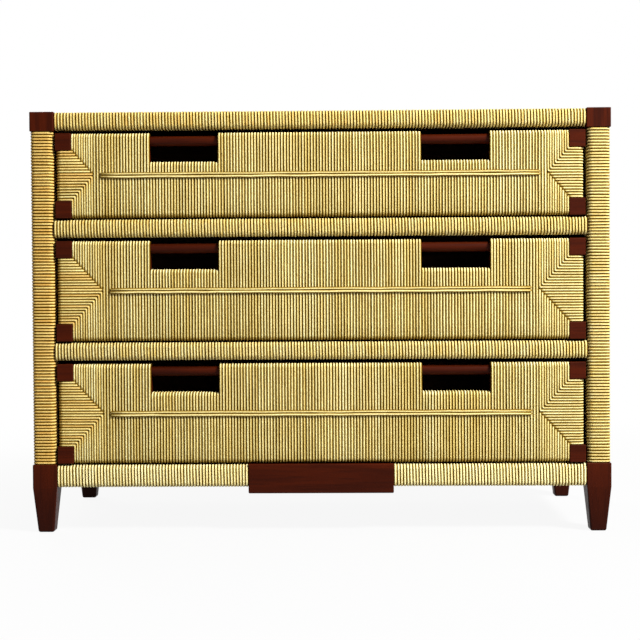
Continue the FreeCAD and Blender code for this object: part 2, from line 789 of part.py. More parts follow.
def check_document():
    """Stops before anything is written if an object failed or a piece is no valid solid."""
    for item in doc.Objects:
        if "Invalid" in item.State or "Error" in item.State:
            raise RuntimeError(f"{item.Label} failed: {item.State}")
    labels = [piece.Label for piece in pieces]
    if len(set(labels)) != len(labels):
        raise RuntimeError("two pieces have one label")
    for piece in pieces:
        shape = piece.Shape
        if shape.isNull() or not shape.isValid() or not shape.Solids:
            raise RuntimeError(f"{piece.Label} is not a valid solid")


def write_pieces():
    """Writes each piece to its own file and prints what it is."""
    os.makedirs("parts", exist_ok=True)
    for piece in pieces:
        piece.Shape.exportStep(f"parts/{piece.Label}.step")
        box_of_piece = piece.Shape.BoundBox
        size = f"{box_of_piece.XLength:.1f} x {box_of_piece.YLength:.1f} x {box_of_piece.ZLength:.1f}"
        print(f"{piece.Label}: {len(piece.Shape.Solids)} solid(s), {size}")


fill_sheet()
work_out_places()
for post_end in ENDS:
    for post_side in SIDES:
        post(post_end, post_side)
        post_wrap(post_end, post_side)
front_rails()
rear_rails()
for case_side in SIDES:
    side_rails(case_side)
    side_panel(case_side)
top_panel()
back_panel()
bottom_panel()
runners()
for drawer_name in DRAWERS:
    drawer_front(drawer_name)
    drawer_box(drawer_name)
doc.recompute()
check_document()
write_pieces()
print(f"{len(pieces)} pieces, height {measure('height'):.1f}")
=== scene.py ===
# %% [markdown]
# # A cord-wound chest of three drawers
#
# The chest is a frame of dark mahogany posts and rails with straw cord wound round nearly all of them.
# The drawer fronts, the sides and the top are boards that the same cord is laid over.
# The solid model already gives the wood its shape, so this lesson mostly makes cord:
# first wound, then laid.

# %% Load the frame
import math
import random

import bpy
from mathutils import Matrix, Vector, noise


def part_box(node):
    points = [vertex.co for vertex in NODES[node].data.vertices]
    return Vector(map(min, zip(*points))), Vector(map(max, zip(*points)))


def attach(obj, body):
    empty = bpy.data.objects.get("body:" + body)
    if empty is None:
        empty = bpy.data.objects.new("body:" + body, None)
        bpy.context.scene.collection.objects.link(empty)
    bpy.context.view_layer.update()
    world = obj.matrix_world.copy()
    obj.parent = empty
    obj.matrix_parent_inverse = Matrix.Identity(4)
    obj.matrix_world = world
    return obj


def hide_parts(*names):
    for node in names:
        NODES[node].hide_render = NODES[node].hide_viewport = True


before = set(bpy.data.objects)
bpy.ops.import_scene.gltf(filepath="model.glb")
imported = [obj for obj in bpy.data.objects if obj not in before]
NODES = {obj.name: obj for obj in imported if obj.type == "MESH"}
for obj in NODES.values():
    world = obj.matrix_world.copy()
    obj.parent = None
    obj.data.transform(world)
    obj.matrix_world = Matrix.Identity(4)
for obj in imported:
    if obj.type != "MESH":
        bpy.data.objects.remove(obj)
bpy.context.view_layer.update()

# %% [markdown]
# ## The camera
#
# The picture was taken from nearly straight ahead, a little above the middle of the chest's height.
# Its place and lens were found by fitting the corners of the solid model to the corners in the picture.
# A camera looks down its own -Z, so it is first stood up by a quarter turn and then given its small angles.

# %% Camera
CAMERA_PLACE = (0.04530, -2.78266, 0.46235)
CAMERA_YAW, CAMERA_PITCH, CAMERA_ROLL = 1.026, -1.172, -0.340
LENS_MM, SENSOR_MM = 74.30, 36.0


def turned(degrees, axis):
    """A turn about one axis, as a 4 by 4 matrix."""
    return Matrix.Rotation(math.radians(degrees), 4, axis)


camera = bpy.data.objects.new("camera", bpy.data.cameras.new("camera"))
camera.data.lens = LENS_MM
camera.data.sensor_width = SENSOR_MM
stand = turned(CAMERA_YAW, "Z") @ turned(90 + CAMERA_PITCH, "X") @ turned(CAMERA_ROLL, "Z")
camera.matrix_world = Matrix.Translation(CAMERA_PLACE) @ stand
bpy.context.scene.collection.objects.link(camera)
bpy.context.scene.camera = camera
bpy.context.scene.view_settings.view_transform = "Standard"
print("camera at", CAMERA_PLACE, "with a lens of", LENS_MM, "mm")

# %% [markdown]
# ## Small helpers for node trees
#
# Materials and Geometry Nodes are both built here from code, one node at a time.
# Written out in full, a tree of fifty nodes would hide what it does.
# So one helper adds a node, sets its properties and links its inputs, and the others name its common uses.

# %% Node helpers
def add(tree, kind, inputs=(), **settings):
    """Adds one node, sets its properties, and fills or links its inputs."""
    made = tree.nodes.new(kind)
    for name, value in settings.items():
        setattr(made, name, value)
    for socket, value in dict(inputs).items():
        if isinstance(value, bpy.types.NodeSocket):
            tree.links.new(value, made.inputs[socket])
        else:
            made.inputs[socket].default_value = value
    return made


def calc(tree, operation, *values):
    """One step of arithmetic."""
    return add(tree, "ShaderNodeMath", enumerate(values), operation=operation).outputs[0]


def times(tree, first, second):
    """The product of two numbers."""
    return calc(tree, "MULTIPLY", first, second)


def spread(tree, value, low, high, to_low=0.0, to_high=1.0):
    """Maps low to high onto to_low to to_high, held at the ends."""
    inputs = enumerate((value, low, high, to_low, to_high))
    return add(tree, "ShaderNodeMapRange", inputs).outputs[0]


def vector(tree, operation, *values):
    """One step of vector arithmetic, with the result as a vector."""
    return add(tree, "ShaderNodeVectorMath", enumerate(values), operation=operation).outputs[0]


def scaled(tree, value, factor):
    """A vector times a number."""
    return add(tree, "ShaderNodeVectorMath", {0: value, 3: factor}, operation="SCALE").outputs[0]


def agreement(tree, first, second):
    """The dot product of two vectors: 1 where two directions agree."""
    inputs = {0: first, 1: second}
    return add(tree, "ShaderNodeVectorMath", inputs, operation="DOT_PRODUCT").outputs["Value"]


print("node helpers:", [f.__name__ for f in (add, calc, times, spread, vector, scaled, agreement)])

# %% [markdown]
# ## Noise, colours and groups
#
# Natural materials are never even, and smooth noise is Blender's plain way to vary a value.
# It is read either at a place in space or at a distance along a line.
# Colours are written as a screen shows them, but shaders count light, so each is made linear first.

# %% Noise, colours and groups
def noise_at(tree, place, scale, detail, roughness=0.5):
    """Smooth noise in space, 0 to 1."""
    inputs = {"Vector": place, "Scale": scale, "Detail": detail, "Roughness": roughness}
    return add(tree, "ShaderNodeTexNoise", inputs).outputs[0]


def noise_along(tree, distance, detail=2.0, roughness=0.5):
    """Smooth noise along a line, 0 to 1."""
    inputs = {"W": distance, "Detail": detail, "Roughness": roughness}
    return add(tree, "ShaderNodeTexNoise", inputs, noise_dimensions="1D").outputs[0]


def blend(tree, amount, first, second, kind="MIX"):
    """Mixes two colours."""
    inputs = {0: amount, 6: first, 7: second}
    return add(tree, "ShaderNodeMix", inputs, data_type="RGBA", blend_type=kind).outputs[2]


def colour(red, green, blue):
    """A colour as it is seen on a screen, 0 to 255, made linear for a shader."""
    def linear(part):
        share = part / 255
        return share / 12.92 if share <= 0.04045 else ((share + 0.055) / 1.055) ** 2.4
    return (linear(red), linear(green), linear(blue), 1.0)


def new_tree(name, kind, inputs, outputs):
    """A node group with named sockets, and the sockets of its input and output nodes."""
    tree = bpy.data.node_groups.new(name, kind)
    for label, socket, value in inputs:
        made = tree.interface.new_socket(label, in_out="INPUT", socket_type=f"NodeSocket{socket}")
        if value is not None:
            made.default_value = value
    for label, socket in outputs:
        tree.interface.new_socket(label, in_out="OUTPUT", socket_type=f"NodeSocket{socket}")
    return tree, add(tree, "NodeGroupInput").outputs, add(tree, "NodeGroupOutput").inputs


print("screen grey 128 is", round(colour(128, 128, 128)[0], 3), "in a shader")

# %% [markdown]
# ## Effects that several finishes share
#
# Wood grain is used by the frame and by the drawer boxes, at different sizes and strengths.
# Handling is the slow, cloudy change that years of touch and light leave on every surface.
# Edge wear compares the surface with a softened copy of itself: they differ only near an edge.
# Each is a shader group, built once and placed in each material with its own values.

# %% Wood grain
RING_STRETCH, PORE_STRETCH = (0.06, 1.0, 1.0), (0.03, 1.0, 1.0)
RING_BANDS, BAND_SHARE, FINE_RINGS = 26.0, 0.25, 2.6


def grain_group():
    """Growth rings seen along the grain, and fine pores. The grain runs along the vector's X."""
    tree, given, result = new_tree(
        "wood grain", "ShaderNodeTree",
        [("Vector", "Vector", None), ("Ring Scale", "Float", 30.0), ("Pore Scale", "Float", 300.0)],
        [("Figure", "Float"), ("Pores", "Float")],
    )
    long = vector(tree, "MULTIPLY", given["Vector"], RING_STRETCH)
    warp = noise_at(tree, long, given["Ring Scale"], 3.0)
    rings = noise_at(tree, long, times(tree, given["Ring Scale"], FINE_RINGS), 5.0, 0.6)
    bands = calc(tree, "SINE", times(tree, warp, RING_BANDS))
    figure = calc(tree, "ADD", times(tree, bands, BAND_SHARE), rings)
    tree.links.new(spread(tree, figure, 0.15, 0.85), result["Figure"])
    short = vector(tree, "MULTIPLY", given["Vector"], PORE_STRETCH)
    pores = noise_at(tree, short, given["Pore Scale"], 2.0)
    tree.links.new(spread(tree, pores, 0.56, 0.68), result["Pores"])
    return tree


GRAIN = grain_group()
print("shared effect:", GRAIN.name, "with", len(GRAIN.nodes), "nodes")

# %% Handling and edge wear
EDGE_PATCHES = 45.0


def handling_group():
    """Cloudy change over a hand's breadth, and small scuffs."""
    tree, given, result = new_tree(
        "handling", "ShaderNodeTree",
        [("Vector", "Vector", None), ("Cloud Scale", "Float", 9.0), ("Scuff Scale", "Float", 120.0)],
        [("Cloud", "Float"), ("Scuff", "Float")],
    )
    cloud = noise_at(tree, given["Vector"], given["Cloud Scale"], 3.0)
    tree.links.new(spread(tree, cloud, 0.3, 0.7), result["Cloud"])
    scuff = noise_at(tree, given["Vector"], given["Scuff Scale"], 4.0)
    tree.links.new(spread(tree, scuff, 0.55, 0.75), result["Scuff"])
    return tree


def edge_group():
    """A mask that is 1 along worn edges and 0 on flat faces."""
    tree, given, result = new_tree(
        "edge wear", "ShaderNodeTree",
        [("Vector", "Vector", None), ("Reach", "Float", 0.0025)],
        [("Edge", "Float")],
    )
    soft = add(tree, "ShaderNodeBevel", {"Radius": given["Reach"]}, samples=4).outputs[0]
    sharp = add(tree, "ShaderNodeNewGeometry").outputs["True Normal"]
    edge = spread(tree, agreement(tree, soft, sharp), 0.99, 0.80)
    patches = spread(tree, noise_at(tree, given["Vector"], EDGE_PATCHES, 3.0), 0.35, 0.65)
    tree.links.new(times(tree, edge, patches), result["Edge"])
    return tree


HANDLING, EDGE = handling_group(), edge_group()
print("shared effects:", HANDLING.name, "and", EDGE.name)

# %% [markdown]
# ## Wood and steel
#
# The frame is mahogany under a satin finish: red-brown, nearly black in the pores, a little worn
# along its edges, and darker near the floor. The drawer boxes and runners are a plain brown wood.
# A picture of wood would need its own layout on every piece, so the grain is made from noise in space.
# It runs along a board's length, so each wood comes in three turns of the same pattern.
# The back is held with small steel screws, which share the handling effect.

# %% Material helpers
def shader(name, **sockets):
    """A new material, its Principled shader with uniform values set on it, and its object coordinates."""
    made = bpy.data.materials.new(name)
    made.use_nodes = True
    tree = made.node_tree
    surface = tree.nodes["Principled BSDF"]
    for label, value in sockets.items():
        surface.inputs[label.replace("_", " ")].default_value = value
    place = add(tree, "ShaderNodeTexCoord").outputs["Object"]
    return made, tree, surface, place


def place_group(tree, group, **values):
    """Puts a shared effect into a material, with this material's values."""
    inputs = {label.replace("_", " "): value for label, value in values.items()}
    return add(tree, "ShaderNodeGroup", inputs, node_tree=group).outputs


def raise_surface(tree, surface, height, strength, distance):
    """Bumps a surface by a height that changes over it."""
    inputs = {"Strength": strength, "Distance": distance, "Height": height}
    bump = add(tree, "ShaderNodeBump", inputs)
    tree.links.new(bump.outputs[0], surface.inputs["Normal"])


print("effects to place:", GRAIN.name, HANDLING.name, EDGE.name)

# %% Wood finishes
GRAIN_TURNS = {"x": (0, 0, 0), "y": (0, 0, math.pi / 2), "z": (0, math.pi / 2, 0)}
NEAR_FLOOR_TONE, NEAR_FLOOR_LOW, NEAR_FLOOR_HIGH, NEAR_FLOOR_AMOUNT = colour(30, 8, 4), 0.01, 0.13, 0.7
CLOUD_AMOUNT, WORN_AMOUNT = 0.6, 0.55
SCUFF_DULL, PORE_DULL, FIGURE_RELIEF = 0.12, 0.10, 0.3


def wood(name, turn, tones, rings, pores, gloss, pore_depth):
    """A wood whose grain runs along one axis. Its tones go from dark grain to light, then worn edge."""
    made, tree, surface, place = shader(name, Specular_IOR_Level=0.05)
    lie = add(tree, "ShaderNodeMapping", {"Vector": place, "Rotation": GRAIN_TURNS[turn]}).outputs[0]
    grain = place_group(tree, GRAIN, Vector=lie, Ring_Scale=rings, Pore_Scale=pores)
    touch = place_group(tree, HANDLING, Vector=place)
    worn = place_group(tree, EDGE, Vector=place)
    dark, middle, light, bare = tones
    tone = blend(tree, grain["Figure"], dark, light)
    tone = blend(tree, times(tree, touch["Cloud"], CLOUD_AMOUNT), tone, middle)
    tone = blend(tree, times(tree, grain["Pores"], pore_depth), tone, dark)
    tone = blend(tree, times(tree, worn["Edge"], WORN_AMOUNT), tone, bare)
    level = add(tree, "ShaderNodeSeparateXYZ", {0: place}).outputs[2]
    # Darker towards the floor, from 13 cm down.
    tone = blend(tree, spread(tree, level, NEAR_FLOOR_LOW, NEAR_FLOOR_HIGH, NEAR_FLOOR_AMOUNT, 0.0), tone, NEAR_FLOOR_TONE)
    tree.links.new(tone, surface.inputs["Base Color"])
    rough = calc(tree, "ADD", gloss, times(tree, touch["Scuff"], SCUFF_DULL))
    rough = calc(tree, "ADD", rough, times(tree, grain["Pores"], PORE_DULL))
    tree.links.new(rough, surface.inputs["Roughness"])
    sunk = times(tree, grain["Pores"], -1.0)
    relief = calc(tree, "ADD", sunk, times(tree, grain["Figure"], FIGURE_RELIEF))
    raise_surface(tree, surface, relief, 0.25, 0.0004)
    return made


MAHOGANY_TONES = (colour(43, 10, 2), colour(55, 14, 2), colour(66, 19, 3), colour(100, 46, 20))
INSIDE_TONES = (colour(70, 42, 24), colour(88, 54, 30), colour(104, 66, 38), colour(134, 94, 60))
MAHOGANY, INSIDE_WOOD = {}, {}
for turn in GRAIN_TURNS:
    MAHOGANY[turn] = wood(
        f"mahogany_{turn}", turn, MAHOGANY_TONES, rings=34.0, pores=420.0, gloss=0.38, pore_depth=0.6
    )
    INSIDE_WOOD[turn] = wood(
        f"drawer_wood_{turn}", turn, INSIDE_TONES, rings=26.0, pores=360.0, gloss=0.58, pore_depth=0.35
    )
print("wood finishes:", [made.name for made in [*MAHOGANY.values(), *INSIDE_WOOD.values()]])

# %% Steel finish
STEEL_DARK, STEEL_LIGHT, STEEL_SCUFFED = colour(150, 148, 142), colour(186, 184, 178), colour(116, 108, 98)


def steel():
    """Plated screw steel with a few dull scuffs."""
    made, tree, surface, place = shader("screw_steel", Metallic=1.0)
    touch = place_group(tree, HANDLING, Vector=place, Cloud_Scale=90.0, Scuff_Scale=900.0)
    tone = blend(tree, touch["Cloud"], STEEL_DARK, STEEL_LIGHT)
    tree.links.new(blend(tree, touch["Scuff"], tone, STEEL_SCUFFED), surface.inputs["Base Color"])
    tree.links.new(spread(tree, touch["Scuff"], 0.0, 1.0, 0.28, 0.55), surface.inputs["Roughness"])
    return made


STEEL = steel()
print("metal finish:", STEEL.name)

# %% [markdown]
# ## Straw cord
#
# The cord is spun from straw-coloured fibre, cream on its crown. Deep between two turns and down its flanks
# the finish paints it browner and darker: that is painted shade.
# Its colour changes from strand to strand, as natural fibre does, and long fibres run round it at a slant.
# A pattern that follows a cord can't come from the object's coordinates, so every cord below carries
# four values on its own mesh: how far along it a point is, where round it, its strand's tint,
# and how far outwards it faces. Its place round the cord is turned with the distance along it,
# which winds the fibres.

# %% Fibres of the cord
FIBRE_LAY, FIBRE_RUN, FIBRE_FINENESS = 0.020, 60.0, 8.0
PLIES, STRAND_SHIFT = 3.0, 40.0


def carried(tree, name, output="Fac"):
    """A value that the cord's mesh carries."""
    return add(tree, "ShaderNodeAttribute", attribute_name=name).outputs[output]


def fibres(tree, along, tint):
    """Fibres that wind round a cord, 0 to 1, and the wave of its plies. The tint tells strands apart."""
    turn = times(tree, along, 2 * math.pi / FIBRE_LAY)
    inputs = {"Vector": carried(tree, "ring", "Vector"), "Angle": turn}
    twisted = add(tree, "ShaderNodeVectorRotate", inputs, rotation_type="Z_AXIS").outputs[0]
    ring = add(tree, "ShaderNodeSeparateXYZ", {0: twisted}).outputs
    ply = calc(tree, "SINE", times(tree, calc(tree, "ARCTAN2", ring[1], ring[0]), PLIES))
    inputs = {
        0: times(tree, ring[0], FIBRE_FINENESS),
        1: times(tree, ring[1], FIBRE_FINENESS),
        2: calc(tree, "MULTIPLY_ADD", along, FIBRE_RUN, times(tree, tint, STRAND_SHIFT)),
    }
    spot = add(tree, "ShaderNodeCombineXYZ", inputs).outputs[0]
    return noise_at(tree, spot, 1.0, 3.0, 0.6), ply


print("one turn of the fibres takes", FIBRE_LAY * 1000, "mm of cord")

# %% Straw cord finish
STRAND_TONES = {
    0.0: colour(246, 200, 116),
    0.35: colour(252, 238, 168),
    0.7: colour(255, 250, 198),
    1.0: colour(250, 252, 208),
}
FIBRE_TONE, FIBRE_AMOUNT = colour(200, 160, 78), 0.72
AGED_TONE, AGED_AMOUNT = colour(232, 208, 118), 0.14
# Painted shade: the flank tone darkens the sides of a cord, and the groove tone paints the dark between
# turns.
FLANK_SHADE_TONE = colour(236, 212, 122)
GROOVE_SHADE_TONE, GROOVE_SHADE_AMOUNT = colour(90, 60, 0), 0.97
PLY_RELIEF = 0.08


def strand_tone(tree, tint):
    """The colour of a strand by its tint."""
    ramp = add(tree, "ShaderNodeValToRGB", {0: tint})
    while len(ramp.color_ramp.elements) < len(STRAND_TONES):
        ramp.color_ramp.elements.new(0.5)
    for element, (position, tone) in zip(ramp.color_ramp.elements, STRAND_TONES.items()):
        element.position, element.color = position, tone
    return ramp.outputs[0]


def straw_finish():
    """Cord colour by strand, fibres that wind round it, and painted shade on its flanks and in the grooves
    between turns.
    """
    made, tree, surface, place = shader("straw_cord", Specular_IOR_Level=0.03)
    along, tint, face = carried(tree, "along"), carried(tree, "tint"), carried(tree, "face")
    fibre, ply = fibres(tree, along, tint)
    touch = place_group(tree, HANDLING, Vector=place, Cloud_Scale=7.0)
    between = spread(tree, fibre, 0.36, 0.53, FIBRE_AMOUNT, 0.0)
    tone = blend(tree, between, strand_tone(tree, tint), FIBRE_TONE)
    tone = blend(tree, times(tree, touch["Cloud"], AGED_AMOUNT), tone, AGED_TONE)
    # Painted shade: where the cord faces less far out, its flanks are multiplied darker and the grooves are
    # painted dark brown.
    tone = blend(tree, spread(tree, face, 1.0, 0.75), tone, FLANK_SHADE_TONE, "MULTIPLY")
    groove = spread(tree, face, 0.975, 0.68)
    tone = blend(tree, times(tree, groove, GROOVE_SHADE_AMOUNT), tone, GROOVE_SHADE_TONE)
    tree.links.new(tone, surface.inputs["Base Color"])
    tree.links.new(spread(tree, fibre, 0.3, 0.7, 0.62, 0.46), surface.inputs["Roughness"])
    raise_surface(tree, surface, calc(tree, "MULTIPLY_ADD", ply, PLY_RELIEF, fibre), 1.0, 0.0006)
    return made


STRAW = straw_finish()
print("cord finish:", STRAW.name, "with", len(STRAW.node_tree.nodes), "nodes")

# %% [markdown]
# ## A skin for any cord
#
# Every cord on the chest is a line with a round skin, so one Geometry Nodes group skins them all.
# It sweeps a small circle along the line and stores the four values that the finish reads.
# The line arrives with two of its own: its tint, and which way is outwards from the wood beneath.
# A cord is never quite even, so its girth changes a little along the way.

# %% Values on a cord
def named(tree, name, kind):
    """A value that the geometry already carries."""
    return add(tree, "GeometryNodeInputNamedAttribute", {"Name": name}, data_type=kind).outputs[0]


def store(tree, geometry, name, kind, value):
    """Stores a value on every point."""
    inputs = {"Geometry": geometry, "Name": name, "Value": value}
    return add(tree, "GeometryNodeStoreNamedAttribute", inputs, data_type=kind, domain="POINT").outputs[0]


print("every cord carries: along, ring, tint and face")

# %% Cord skin
CORD_SIDES = 8
LUMP_SCALE, LUMP_SHIFT, LUMP_GIRTHS = 30.0, 90.0, (0.98, 1.02)


def skin_group():
    """Sweeps a round cord along a line, and stores what the finish reads."""
    tree, given, result = new_tree(
        "cord skin", "GeometryNodeTree",
        [
            ("Line", "Geometry", None), ("Cord Radius", "Float", 0.0028), ("Girth", "Float", 1.0),
            ("Sides", "Int", CORD_SIDES), ("Material", "Material", None),
        ],
        [("Cord", "Geometry")],
    )
    radius = given["Cord Radius"]
    here = add(tree, "GeometryNodeInputPosition").outputs[0]
    length = add(tree, "GeometryNodeSplineParameter").outputs["Length"]
    line = store(tree, given["Line"], "along", "FLOAT", length)
    line = store(tree, line, "centre", "FLOAT_VECTOR", here)
    inputs = {"Resolution": given["Sides"], "Radius": radius}
    circle = add(tree, "GeometryNodeCurvePrimitiveCircle", inputs).outputs[0]
    share = scaled(tree, here, calc(tree, "DIVIDE", 1.0, radius))
    circle = store(tree, circle, "ring", "FLOAT_VECTOR", share)
    start = times(tree, named(tree, "tint", "FLOAT"), LUMP_SHIFT)
    lumps = noise_along(tree, calc(tree, "MULTIPLY_ADD", length, LUMP_SCALE, start))
    girth = times(tree, given["Girth"], spread(tree, lumps, 0.3, 0.7, *LUMP_GIRTHS))
    inputs = {"Curve": line, "Profile Curve": circle, "Scale": girth, "Fill Caps": True}
    cord = add(tree, "GeometryNodeCurveToMesh", inputs).outputs[0]
    offset = vector(tree, "SUBTRACT", here, named(tree, "centre", "FLOAT_VECTOR"))
    facing = agreement(tree, offset, named(tree, "outward", "FLOAT_VECTOR"))
    cord = store(tree, cord, "face", "FLOAT", calc(tree, "DIVIDE", facing, radius))
    for spent in ("centre", "outward", "girth"):
        cord = add(tree, "GeometryNodeRemoveAttribute", {"Geometry": cord, "Name": spent}).outputs[0]
    cord = add(tree, "GeometryNodeSetShadeSmooth", {"Geometry": cord}).outputs[0]
    cord = add(tree, "GeometryNodeRealizeInstances", {"Geometry": cord}).outputs[0]
    inputs = {"Geometry": cord, "Material": given["Material"]}
    tree.links.new(add(tree, "GeometryNodeSetMaterial", inputs).outputs[0], result["Cord"])
    return tree


SKIN = skin_group()
print("cord skin has", len(SKIN.nodes), "nodes")

# %% Using the skin
def skinned(tree, line, given, **more):
    """Places the cord skin in a tree, with that tree's own inputs."""
    inputs = {label: given[label] for label in ("Cord Radius", "Sides", "Material")}
    inputs.update(more, Line=line)
    return add(tree, "GeometryNodeGroup", inputs, node_tree=SKIN).outputs[0]


def grow(name, tree, base=None, **values):
    """Runs a tree on a new object and keeps the result as a plain mesh."""
    piece = bpy.data.objects.new(name, base or bpy.data.meshes.new(name))
    bpy.context.scene.collection.objects.link(piece)
    modifier = piece.modifiers.new(tree.name, "NODES")
    modifier.node_group = tree
    wanted = {label.replace("_", " "): value for label, value in values.items()}
    for item in tree.interface.items_tree:
        if item.in_out == "INPUT" and item.name in wanted:
            modifier[item.identifier] = wanted[item.name]
    graph = bpy.context.evaluated_depsgraph_get()
    mesh = bpy.data.meshes.new_from_object(
        piece.evaluated_get(graph), preserve_all_data_layers=True, depsgraph=graph
    )
    piece.modifiers.remove(modifier)
    piece.data = mesh
    mesh.name = name
    return piece


print("inputs of the skin:", [item.name for item in SKIN.interface.items_tree if item.in_out == "INPUT"])

# %% [markdown]
# ## Wound cord
#
# Round a post or a rail the cord is one long winding, turn against turn.
# A stack of separate rings would look much the same, but a real winding has only two ends.
# A rounded rectangle gives one turn. The tree repeats its points once for every turn and moves each along
# the axis, so the turns join into a single line. A turn stays square on the faces in view and steps on
# to the next along the inner face, which the chest hides.

# %% Turns of a winding
def one_turn(tree, given):
    """One turn of the cord's centre line, a rounded rectangle, and how far its straight sides reach."""
    thick = times(tree, given["Cord Radius"], 2.0)
    bend = calc(tree, "SUBTRACT", given["Corner Radius"], given["Cord Radius"])
    wide = calc(tree, "SUBTRACT", given["Width"], thick)
    high = calc(tree, "SUBTRACT", given["Height"], thick)
    inputs = {"Width": wide, "Height": high}
    square = add(tree, "GeometryNodeCurvePrimitiveQuadrilateral", inputs).outputs[0]
    inputs = {"Curve": square, "Count": given["Steps"], "Radius": bend}
    line = add(tree, "GeometryNodeFilletCurve", inputs, mode="POLY").outputs[0]
    straight = [calc(tree, "SUBTRACT", times(tree, size, 0.5), bend) for size in (wide, high)]
    return line, add(tree, "ShaderNodeCombineXYZ", enumerate(straight)).outputs[0]


def all_turns(tree, given, line):
    """The points of every turn, each point's turn as a number, and its place on the single turn."""
    sizes = add(tree, "GeometryNodeAttributeDomainSize", {0: line}, component="CURVE")
    points = sizes.outputs["Point Count"]
    inputs = {0: given["Turns"], 1: points}
    count = add(tree, "FunctionNodeIntegerMath", inputs, operation="MULTIPLY").outputs[0]
    dots = add(tree, "GeometryNodeMeshLine", {"Count": count, "Offset": (0.0, 0.0, 0.001)}).outputs[0]
    index = add(tree, "GeometryNodeInputIndex").outputs[0]
    step = add(tree, "FunctionNodeIntegerMath", {0: index, 1: points}, operation="MODULO").outputs[0]
    here = add(tree, "GeometryNodeInputPosition").outputs[0]
    inputs = {0: line, 1: here, 2: step}
    sample = add(tree, "GeometryNodeSampleIndex", inputs, data_type="FLOAT_VECTOR", domain="POINT")
    return dots, calc(tree, "DIVIDE", index, points), sample.outputs[0]


print("parts of a winding:", [part.__name__ for part in (one_turn, all_turns)])

# %% [markdown]
# ## The hand in a winding
#
# Hands don't wind perfectly. The turns slant and lean a little, and the lean drifts slowly along the piece.
# Each turn also sits a hair up or down from its even place.
# Both fade at the ends, where the bare wood holds the turns square.

# %% Hand of a winding
LEAN_DRIFT, LEAN_GAIN, SECOND_LEAN = 0.05, 3.0, 50.0
HOP_DRIFT, HOP_REACH, HOP_SHIFT = 0.9, 0.0007, 90.0


def hand_lean(tree, given, turns, sides):
    """How far a point of a turn leans along the axis."""
    leans = []
    for shift, side in ((0.0, sides[0]), (SECOND_LEAN, sides[1])):
        start = calc(tree, "ADD", given["Seed"], shift)
        drift = noise_along(tree, calc(tree, "ADD", times(tree, turns, LEAN_DRIFT), start), 3.0, 0.6)
        tilt = times(tree, calc(tree, "SUBTRACT", drift, 0.5), times(tree, given["Lean"], LEAN_GAIN))
        leans.append(times(tree, calc(tree, "ADD", tilt, given["Slant"]), side))
    return calc(tree, "ADD", *leans)


def hand_hop(tree, given, turns):
    """How far a whole turn sits off its even place, about -0.5 to 0.5."""
    start = calc(tree, "ADD", given["Seed"], HOP_SHIFT)
    hop = noise_along(tree, calc(tree, "MULTIPLY_ADD", turns, HOP_DRIFT, start), 0.0)
    return calc(tree, "SUBTRACT", hop, 0.5)


print("a turn sits up to", HOP_REACH * 500, "mm off its even place")

# %% Winding tree
HELD_END, TINT_DRIFT = 0.03, 0.8


def winding_tree():
    """Winds one cord along Z, round a rounded rectangle, and skins it."""
    tree, given, result = new_tree(
        "winding", "GeometryNodeTree",
        [
            ("Length", "Float", 0.5), ("Width", "Float", 0.04), ("Height", "Float", 0.04),
            ("Corner Radius", "Float", 0.009), ("Steps", "Int", 4), ("Turns", "Int", 80),
            ("Cord Radius", "Float", 0.0028), ("Slant", "Float", 0.02), ("Lean", "Float", 0.05),
            ("Sides", "Int", CORD_SIDES), ("Seed", "Float", 0.0), ("Tint Low", "Float", 0.0),
            ("Tint High", "Float", 1.0), ("Lit", "Float", 1.0), ("Material", "Material", None),
        ],
        [("Cord", "Geometry")],
    )
    line, straight = one_turn(tree, given)
    dots, turn, around = all_turns(tree, given, line)
    turns = calc(tree, "FLOOR", calc(tree, "ADD", turn, 0.001))
    span = calc(tree, "SUBTRACT", given["Length"], times(tree, given["Cord Radius"], 2.0))
    last_turn = calc(tree, "SUBTRACT", given["Turns"], 1.0)
    rise = times(tree, calc(tree, "DIVIDE", turns, last_turn), span)
    near_end = calc(tree, "MINIMUM", rise, calc(tree, "SUBTRACT", span, rise))
    free = spread(tree, near_end, 0.0, HELD_END)
    sides = add(tree, "ShaderNodeSeparateXYZ", {0: around}).outputs
    lean = times(tree, hand_lean(tree, given, turns, sides), free)
    hop = times(tree, hand_hop(tree, given, turns), times(tree, free, HOP_REACH))
    even = calc(tree, "SUBTRACT", rise, times(tree, span, 0.5))
    level = calc(tree, "ADD", even, calc(tree, "ADD", lean, hop))
    place = add(tree, "ShaderNodeCombineXYZ", {0: sides[0], 1: sides[1], 2: level}).outputs[0]
    wound = add(tree, "GeometryNodeSetPosition", {"Geometry": dots, "Position": place}).outputs[0]
    inner = vector(tree, "MAXIMUM", around, vector(tree, "MULTIPLY", straight, (-1, -1, -1)))
    inner = vector(tree, "MINIMUM", inner, straight)
    outward = vector(tree, "NORMALIZE", vector(tree, "SUBTRACT", around, inner))
    wound = store(tree, wound, "outward", "FLOAT_VECTOR", scaled(tree, outward, given["Lit"]))
    hue = noise_along(tree, calc(tree, "ADD", times(tree, turn, TINT_DRIFT), given["Seed"]))
    tint = spread(tree, hue, 0.25, 0.75, given["Tint Low"], given["Tint High"])
    wound = store(tree, wound, "tint", "FLOAT", tint)
    line = add(tree, "GeometryNodeMeshToCurve", {"Mesh": wound}).outputs[0]
    tree.links.new(skinned(tree, line, given), result["Cord"])
    return tree


WINDING = winding_tree()
print("winding tree has", len(WINDING.nodes), "nodes")

# %% [markdown]
# ## Winding the posts and rails
#
# The solid sleeves give each winding its length, width and height, so the cord fills the same room.
# The number of turns comes from the cord's own thickness, as counted along a rail in the picture.
# A cord is a little thicker than its share of the length, because turns are pressed against each other.

# %% Winding helpers
WOUND_SHARE, WRAP_RADIUS = 0.55, 0.0108
RIGHT, BACK, UP = Vector((1, 0, 0)), Vector((0, 1, 0)), Vector((0, 0, 1))
INWARD = {"left": RIGHT, "right": -RIGHT}
SEED_STEP = 11.3


